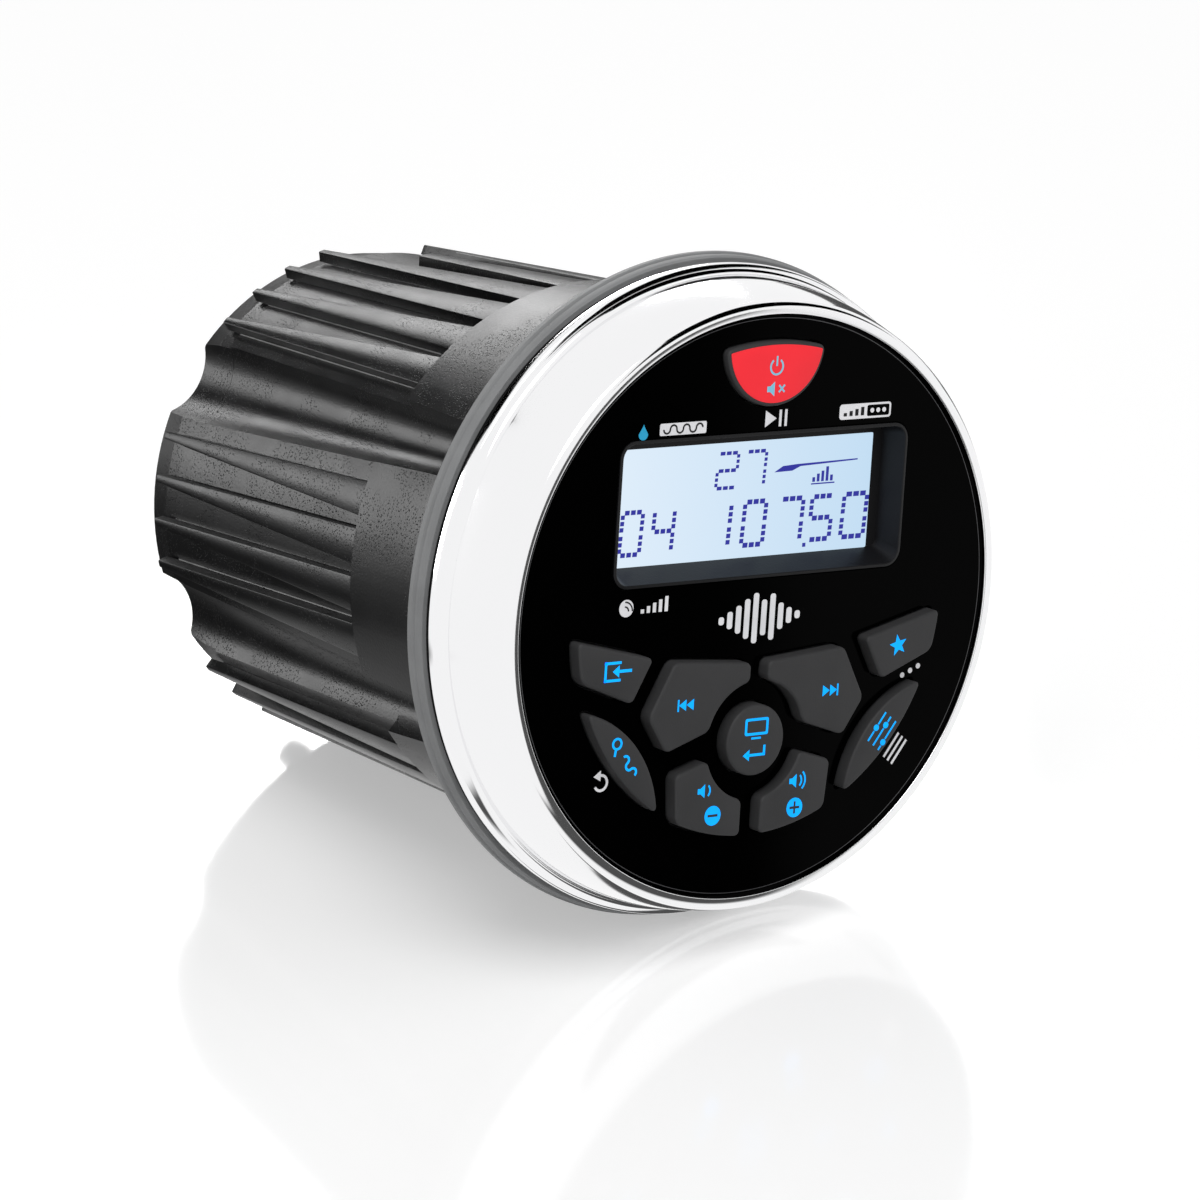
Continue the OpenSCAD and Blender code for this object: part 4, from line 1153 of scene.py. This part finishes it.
class STEREO_OT_rear(bpy.types.Operator):
    """Builds the rear sockets and studs and dresses the rear cover"""

    bl_idname = "stereo.rear"
    bl_label = "Build Rear"

    def execute(self, context):
        s = sizes()
        for node in REAR:
            dress(node)
        self.studs(s)
        self.antenna(s)
        self.line_outs(s)
        self.latch(s)
        self.relief(s)
        return {"FINISHED"}

    def studs(self, s):
        """Two threaded studs with a collar, a neck through the cover and a head inside."""
        face, inside, _ = rear_levels(s)
        r, t = s.stud_collar_r, s.stud_collar_t
        collar = loft([(disc(0, 0, r, 64), face - CLEAR), (disc(0, 0, r, 64), face - t + 0.25),
                       (disc(0, 0, r - 0.25, 64), face - t)])
        neck = rod(s.stud_r + 0.5, inside + 0.5, face, 48)
        head = rod(r, inside + CLEAR, inside + 2, 64)
        stud = merge(threaded_rod(s, s.rear_z + t - 0.1, s.rear_z + s.stud_len), collar, neck, head)
        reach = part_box("mounting_studs")[1].z / MM - r
        piece("threaded_studs", merge(shifted(stud, 0, reach), shifted(stud, 0, -reach)),
              palette("screw_steel"), replaces=["mounting_studs"])

    def antenna(self, s):
        """A sleeve with a groove, a nut, a centre contact and its insulator."""
        place = mount_place("antenna_socket")
        face, inside, tip = rear_levels(s)
        r, outer, pin = s.antenna_r, s.antenna_r + s.antenna_wall, 1.1
        sleeve = lathe([(r, inside + 3), (r, tip + 0.3), (r + 0.3, tip), (outer - 0.25, tip),
                        (outer, tip + 0.25), (outer, tip + 1.6), (outer - 0.3, tip + 1.8),
                        (outer - 0.3, tip + 2.8), (outer, tip + 3), (outer, inside + 3)], 96)
        nut = slab(disc(0, 0, outer + 1.5, 6), face - 1.5, face - CLEAR, [disc(0, 0, outer - 0.05, 96)])
        contact = lathe([(0.6, inside), (0.6, inside - 3.4), (0.8, inside - 3.5), (pin, inside - 3.2),
                         (pin, inside)], 32)
        made = piece("antenna_sleeve", shifted(merge(sleeve, nut, contact), *place), palette("socket_brass"),
                     replaces=["antenna_socket"])
        bevel(made, 0.15, 50)
        web = lathe([(pin + CLEAR, inside + 1), (pin + CLEAR, inside - 0.3), (r - CLEAR, inside - 0.3),
                     (r - CLEAR, inside + 1)], 64)
        piece("antenna_insulator", shifted(web, *place), palette("insulator_white"))

    def line_outs(self, s):
        """Two phono sockets with a flange, and their coloured insulators."""
        face, inside, tip = rear_levels(s)
        r, bore, rim = s.line_out_r, s.line_out_bore, s.line_out_r - 0.85
        shell = lathe([(bore, inside + 3), (bore, tip + 0.9), (rim, tip + 0.9), (rim, tip + 0.15),
                       (rim + 0.15, tip), (r - 0.25, tip), (r, tip + 0.25), (r, tip + 2.4),
                       (r - 0.22, tip + 2.6), (r - 0.22, tip + 3.2), (r, tip + 3.4), (r, face - 1.2),
                       (r + 1.2, face - 1.2), (r + 1.4, face - 1), (r + 1.4, face - CLEAR),
                       (r, face - CLEAR), (r, inside + 3)], 96)
        core = lathe([(bore + CLEAR, tip + 0.88), (bore + CLEAR, tip + 0.3), (bore + 0.2, tip + 0.12),
                      (rim - CLEAR, tip + 0.12), (rim - CLEAR, tip + 0.88)], 64)
        places = {side: mount_place(f"line_out_{side}") for side in ("left", "right")}
        piece("line_out_shells", merge(*[shifted(shell, *place) for place in places.values()]),
              palette("socket_brass"), replaces=["line_out_sockets"])
        for side, tint in (("left", "white"), ("right", "red")):
            piece(f"line_out_core_{side}", shifted(core, *places[side]), palette(f"insulator_{tint}"))

    def latch(self, s):
        """A latch ramp and two guide ribs on top of the harness socket."""
        tip = rear_levels(s)[2]
        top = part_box("harness_socket")[1].z / MM - HARNESS_RIM
        ramp = [(-0.05, 6), (-0.05, 0.8), (0.15, 0.8), (1.2, 3.2), (1.2, 4), (0.2, 4.2), (0.2, 6)]
        rib = [(-0.05, 7.6), (-0.05, 0.5), (0.4, 0.5), (0.6, 0.8), (0.6, 7.6)]
        spans = [(ramp, -3.5, 3.5), (rib, -11.1, -9.9), (rib, 9.9, 11.1)]
        shapes = [ridge([(top + up, tip + out) for up, out in profile], x0, x1) for profile, x0, x1 in spans]
        piece("harness_latch", merge(*shapes), palette("connector_cream"))

    def relief(self, s):
        """Moulded relief on the rear cover: a ring, a frame round the harness socket, and generic signs."""
        face = -s.rear_z
        base, top, soft = face + SUNK, face - RELIEF_H, 0.15
        r0, r1 = RELIEF_RING
        ring = lathe([(r0, base), (r0, top + soft), (r0 + soft, top), (r1 - soft, top), (r1, top + soft),
                      (r1, base)])
        low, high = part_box("harness_socket")
        x, y0, y1 = high.x / MM - HARNESS_RIM, low.z / MM + HARNESS_RIM, high.z / MM - HARNESS_RIM
        inner, outer = (round_rect(-x - grow, y0 - grow, x + grow, y1 + grow, corner)
                        for grow, corner in ((0.3, 0.3), (1.7, 1.4)))
        border = slab(outer, top, base, [inner])
        ax, ay = mount_place("antenna_socket")
        ay -= 10.6
        aerial = [bar(ax, ay - 2.2, ax, ay + 2.2, 0.5)]
        aerial += [bar(ax + side, ay + 2.1, ax, ay, 0.5) for side in (-1.9, 1.9)]
        sound = [speaker(0, 0, 1.5), arc(0.2, 0, 1.9, -45, 45, 0.45), arc(0.2, 0, 3, -45, 45, 0.45)]
        signs = aerial + [moved(outline, 14.2, 19.6) for outline in sound]
        raised = [slab(outline, face - SIGN_H, base) for outline in signs]
        made = piece("cover_relief", merge(ring, border, *raised), palette("barrel_plastic"))
        bevel(made, 0.08, 50)


class STEREO_OT_inside(bpy.types.Operator):
    """Dresses the boards and parts inside the barrel"""

    bl_idname = "stereo.inside"
    bl_label = "Build Inside"

    def execute(self, context):
        for node in INSIDE:
            dress(node)
        return {"FINISHED"}


# Stage, in metres

FLOOR_NORMAL = Vector((-0.176, -0.128, 0.976))
FLOOR_HALF, FLOOR_DROP = 3.0, 0.0001
FLOOR_GLOW = 0.4
WORLD_FILL = 0.45      # strength of the world as a light; the camera and reflections see it white

# Where reflections see the floor dark, which is painted shade: under the ring's foot in place of its contact
# shadow, behind the part, and in a strip ahead of the part, which the lip's flat top mirrors. Each has a soft
# edge.
FOOT_AT, FOOT_REACH, FOOT_SOFT = (-0.004, -0.0058), (0.034, 0.003), (0.7, 1.2)
BACK_FROM, BACK_LEFT = 0.11, -0.14
BACK_FROM_SOFT, BACK_LEFT_SOFT = 0.015, 0.03
STRIP_ACROSS, STRIP_EDGES, STRIP_FROM = (0.789, 0.615), (-0.075, 0.005), -0.03
STRIP_SOFT, STRIP_FROM_SOFT = 0.015, 0.02
# Brightness of the painted shade at its darkest.
DARK_SHINE = 0.08

# Soft lights: name, place, target, width, height, power, and whether it lights matt surfaces too.
LAMPS = (
    ("Front Light", (-0.5, -0.5, 0.85), (0, 0, 0), 0.6, 0.6, 4.5, True),
    ("Back Sheen", (0.22, 0.72, 0.54), (0, 0.045, 0), 0.7, 0.2, 4.8, False),
    ("Left Sheen", (-0.5, 0.7, 0.13), (0, 0.045, 0), 0.3, 0.34, 2.6, False),
)

# Black cards that only reflections see. One gives the plating's upper edges their dark lines, and one
# behind the part gives the barrel its dark sides between the sheens.
CARDS = [[(0.75, -0.1, 0.3), (0.1, -0.75, 0.3), (0.05, -0.35, 0.85), (0.4, -0.05, 0.85)],
         [(-0.85, 1.2, 0.35), (0.5, 1.2, 0.35), (0.5, 1.2, 1.1), (-0.85, 1.2, 1.1)]]

# The photograph's camera: place, directions to its back and right before the roll, and the roll.
CAMERA_AT = (-0.586, -0.7309, 0.1855)
CAMERA_BACK, CAMERA_RIGHT = Vector((-0.6033, -0.7727, 0.1975)), Vector((0.788, -0.6154, 0))
CAMERA_ROLL = math.radians(3.6)
LENS, SENSOR = 191.04, 36
CLIP = (0.05, 20)


def floor_touch(s):
    """The point where the sealing ring's rim touches the floor."""
    side = Vector((FLOOR_NORMAL.x, 0, FLOOR_NORMAL.z)).normalized()
    return side * -s.gasket_r * MM


def softbox(name, place, target, width, height, power, diffuse):
    """A soft light that the camera doesn't see."""
    data = bpy.data.lights.new(name, "AREA")
    data.shape, data.size, data.size_y, data.energy = "RECTANGLE", width, height, power
    lamp = bpy.data.objects.new(name, data)
    bpy.context.scene.collection.objects.link(lamp)
    lamp.location = place
    lamp.rotation_mode = "QUATERNION"
    lamp.rotation_quaternion = (Vector(target) - Vector(place)).to_track_quat("-Z", "Y")
    lamp.visible_camera, lamp.visible_diffuse = False, diffuse


def sheet(name, corners, made):
    """A flat sheet of the stage."""
    mesh = bpy.data.meshes.new(name)
    mesh.from_pydata(corners, [], [(0, 1, 2, 3)])
    mesh.materials.append(made)
    obj = bpy.data.objects.new(name, mesh)
    bpy.context.scene.collection.objects.link(obj)
    return obj


class STEREO_OT_stage(bpy.types.Operator):
    """Sets the floor, the soft light and the camera"""

    bl_idname = "stereo.stage"
    bl_label = "Set Stage"

    def execute(self, context):
        scene = context.scene
        scene.view_settings.view_transform = "Standard"
        self.floor(sizes())
        self.world(scene)
        for lamp in LAMPS:
            softbox(*lamp)
        self.cards()
        self.camera(scene)
        return {"FINISHED"}

    def floor(self, s):
        """A pale floor that the part's rim touches."""
        normal = FLOOR_NORMAL.normalized()
        turn = normal.to_track_quat("Z", "Y").to_matrix().to_4x4()
        corners = [(x, y, 0) for x, y in rect(-FLOOR_HALF, -FLOOR_HALF, FLOOR_HALF, FLOOR_HALF)]
        floor = sheet("floor", corners, self.paper())
        floor.matrix_world = Matrix.Translation(floor_touch(s) - normal * FLOOR_DROP) @ turn

    def paper(self):
        """The floor's material, clear from below, which reflections see white with dark places of painted
        shade.
        """
        made, tree, shader = blank("floor")
        rays = tree.nodes.new("ShaderNodeLightPath").outputs
        glow = math_node(tree, "MULTIPLY", rays["Is Camera Ray"], FLOOR_GLOW)
        values = {"Base Color": (0.8, 0.8, 0.8, 1), "Roughness": 0.1, "Specular IOR Level": 0.4,
                  "Emission Color": (1, 1, 1, 1), "Emission Strength": glow}
        for socket, value in values.items():
            plug(tree, shader.inputs[socket], value)
        mirrored = tree.nodes.new("ShaderNodeEmission")
        tree.links.new(self.shine(tree), mirrored.inputs["Strength"])
        clear = tree.nodes.new("ShaderNodeBsdfTransparent")
        back = tree.nodes.new("ShaderNodeNewGeometry").outputs["Backfacing"]
        front = self.mixed(tree, rays["Is Glossy Ray"], shader.outputs["BSDF"], mirrored.outputs["Emission"])
        surface = self.mixed(tree, back, front, clear.outputs["BSDF"])
        tree.links.new(surface, tree.nodes["Material Output"].inputs["Surface"])
        return made

    def mixed(self, tree, factor, first, second):
        """A mix of two shaders."""
        mix = tree.nodes.new("ShaderNodeMixShader")
        for socket, value in zip(mix.inputs, (factor, first, second)):
            tree.links.new(value, socket)
        return mix.outputs["Shader"]

    def shine(self, tree):
        """How bright reflections see the floor: white, with its dark places of painted shade."""
        x, y, _ = split_xyz(tree, tree.nodes.new("ShaderNodeNewGeometry").outputs["Position"])

        def ramp(value, start, stop):
            return map_range(tree, value, start, stop, smooth=True)

        def times(a, b):
            return math_node(tree, "MULTIPLY", a, b)

        offsets = [math_node(tree, "DIVIDE", math_node(tree, "SUBTRACT", v, centre), reach)
                   for v, centre, reach in zip((x, y), FOOT_AT, FOOT_REACH)]
        foot = ramp(math_node(tree, "ADD", *[times(v, v) for v in offsets]), *FOOT_SOFT)
        behind = times(ramp(y, BACK_FROM - BACK_FROM_SOFT, BACK_FROM + BACK_FROM_SOFT),
                       ramp(x, BACK_LEFT - BACK_LEFT_SOFT, BACK_LEFT + BACK_LEFT_SOFT))
        across = math_node(tree, "ADD", *[times(v, share) for v, share in zip((x, y), STRIP_ACROSS)])
        left, right = STRIP_EDGES
        strip_mask = times(ramp(across, left, left + STRIP_SOFT), ramp(across, right, right - STRIP_SOFT))
        ahead = times(strip_mask, ramp(y, STRIP_FROM, STRIP_FROM - STRIP_FROM_SOFT))
        level = foot
        for dark in (behind, ahead):
            level = times(level, math_node(tree, "SUBTRACT", 1, dark))
        return math_node(tree, "MAXIMUM", level, DARK_SHINE)

    def cards(self):
        """The black cards, which only reflections see."""
        black = material("card", base=(0, 0, 0), rough=0.9, specular=0, bump=0)
        for corners in CARDS:
            card = sheet("card", corners, black)
            card.visible_camera = card.visible_diffuse = False
            card.visible_shadow = card.visible_transmission = False

    def world(self, scene):
        """A white world that lights with less than its full strength."""
        scene.world = bpy.data.worlds.new("studio")
        scene.world.use_nodes = True
        tree = scene.world.node_tree
        rays = tree.nodes.new("ShaderNodeLightPath").outputs
        seen = math_node(tree, "MAXIMUM", rays["Is Camera Ray"], rays["Is Glossy Ray"])
        seen = math_node(tree, "MAXIMUM", seen, rays["Is Transmission Ray"])
        back = tree.nodes["Background"]
        back.inputs["Color"].default_value = (1, 1, 1, 1)
        tree.links.new(map_range(tree, seen, 0, 1, WORLD_FILL, 1), back.inputs["Strength"])

    def camera(self, scene):
        """The photograph's camera."""
        data = bpy.data.cameras.new("camera")
        data.sensor_width, data.lens = SENSOR, LENS
        data.clip_start, data.clip_end = CLIP
        data.dof.use_dof = False
        cam = bpy.data.objects.new("camera", data)
        scene.collection.objects.link(cam)
        back, right = CAMERA_BACK.normalized(), CAMERA_RIGHT.normalized()
        up = back.cross(right)
        cos, sin = math.cos(CAMERA_ROLL), math.sin(CAMERA_ROLL)
        turn = Matrix((right * cos + up * sin, up * cos - right * sin, back)).transposed().to_4x4()
        cam.matrix_world = Matrix.Translation(CAMERA_AT) @ turn
        scene.camera = cam


# Panel and registration

STEPS = ("barrel", "trim", "face", "display", "keys", "rear", "inside", "stage")


class STEREO_PT_panel(bpy.types.Panel):
    """Sizes, colours and building steps of the stereo"""

    bl_idname = "STEREO_PT_panel"
    bl_label = "Marine Stereo"
    bl_space_type = "VIEW_3D"
    bl_region_type = "UI"
    bl_category = "Stereo"

    def draw(self, context):
        for step in STEPS:
            self.layout.operator(f"stereo.{step}")
        for title, group_name in (("Sizes", "stereo_sizes"), ("Colours", "stereo_colours")):
            box = self.layout.box()
            box.label(text=title)
            values = getattr(context.scene, group_name)
            for name in values.__annotations__:
                box.prop(values, name)


CLASSES = (STEREO_PG_sizes, STEREO_PG_colours, STEREO_OT_barrel, STEREO_OT_trim, STEREO_OT_face,
           STEREO_OT_display, STEREO_OT_keys, STEREO_OT_rear, STEREO_OT_inside, STEREO_OT_stage,
           STEREO_PT_panel)


def register():
    for cls in CLASSES:
        bpy.utils.register_class(cls)
    bpy.types.Scene.stereo_sizes = PointerProperty(type=STEREO_PG_sizes)
    bpy.types.Scene.stereo_colours = PointerProperty(type=STEREO_PG_colours)


def unregister():
    del bpy.types.Scene.stereo_colours
    del bpy.types.Scene.stereo_sizes
    for cls in reversed(CLASSES):
        bpy.utils.unregister_class(cls)


def main():
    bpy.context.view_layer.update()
    register()
    for step in STEPS:
        getattr(bpy.ops.stereo, step)()


if __name__ == "__main__":
    main()
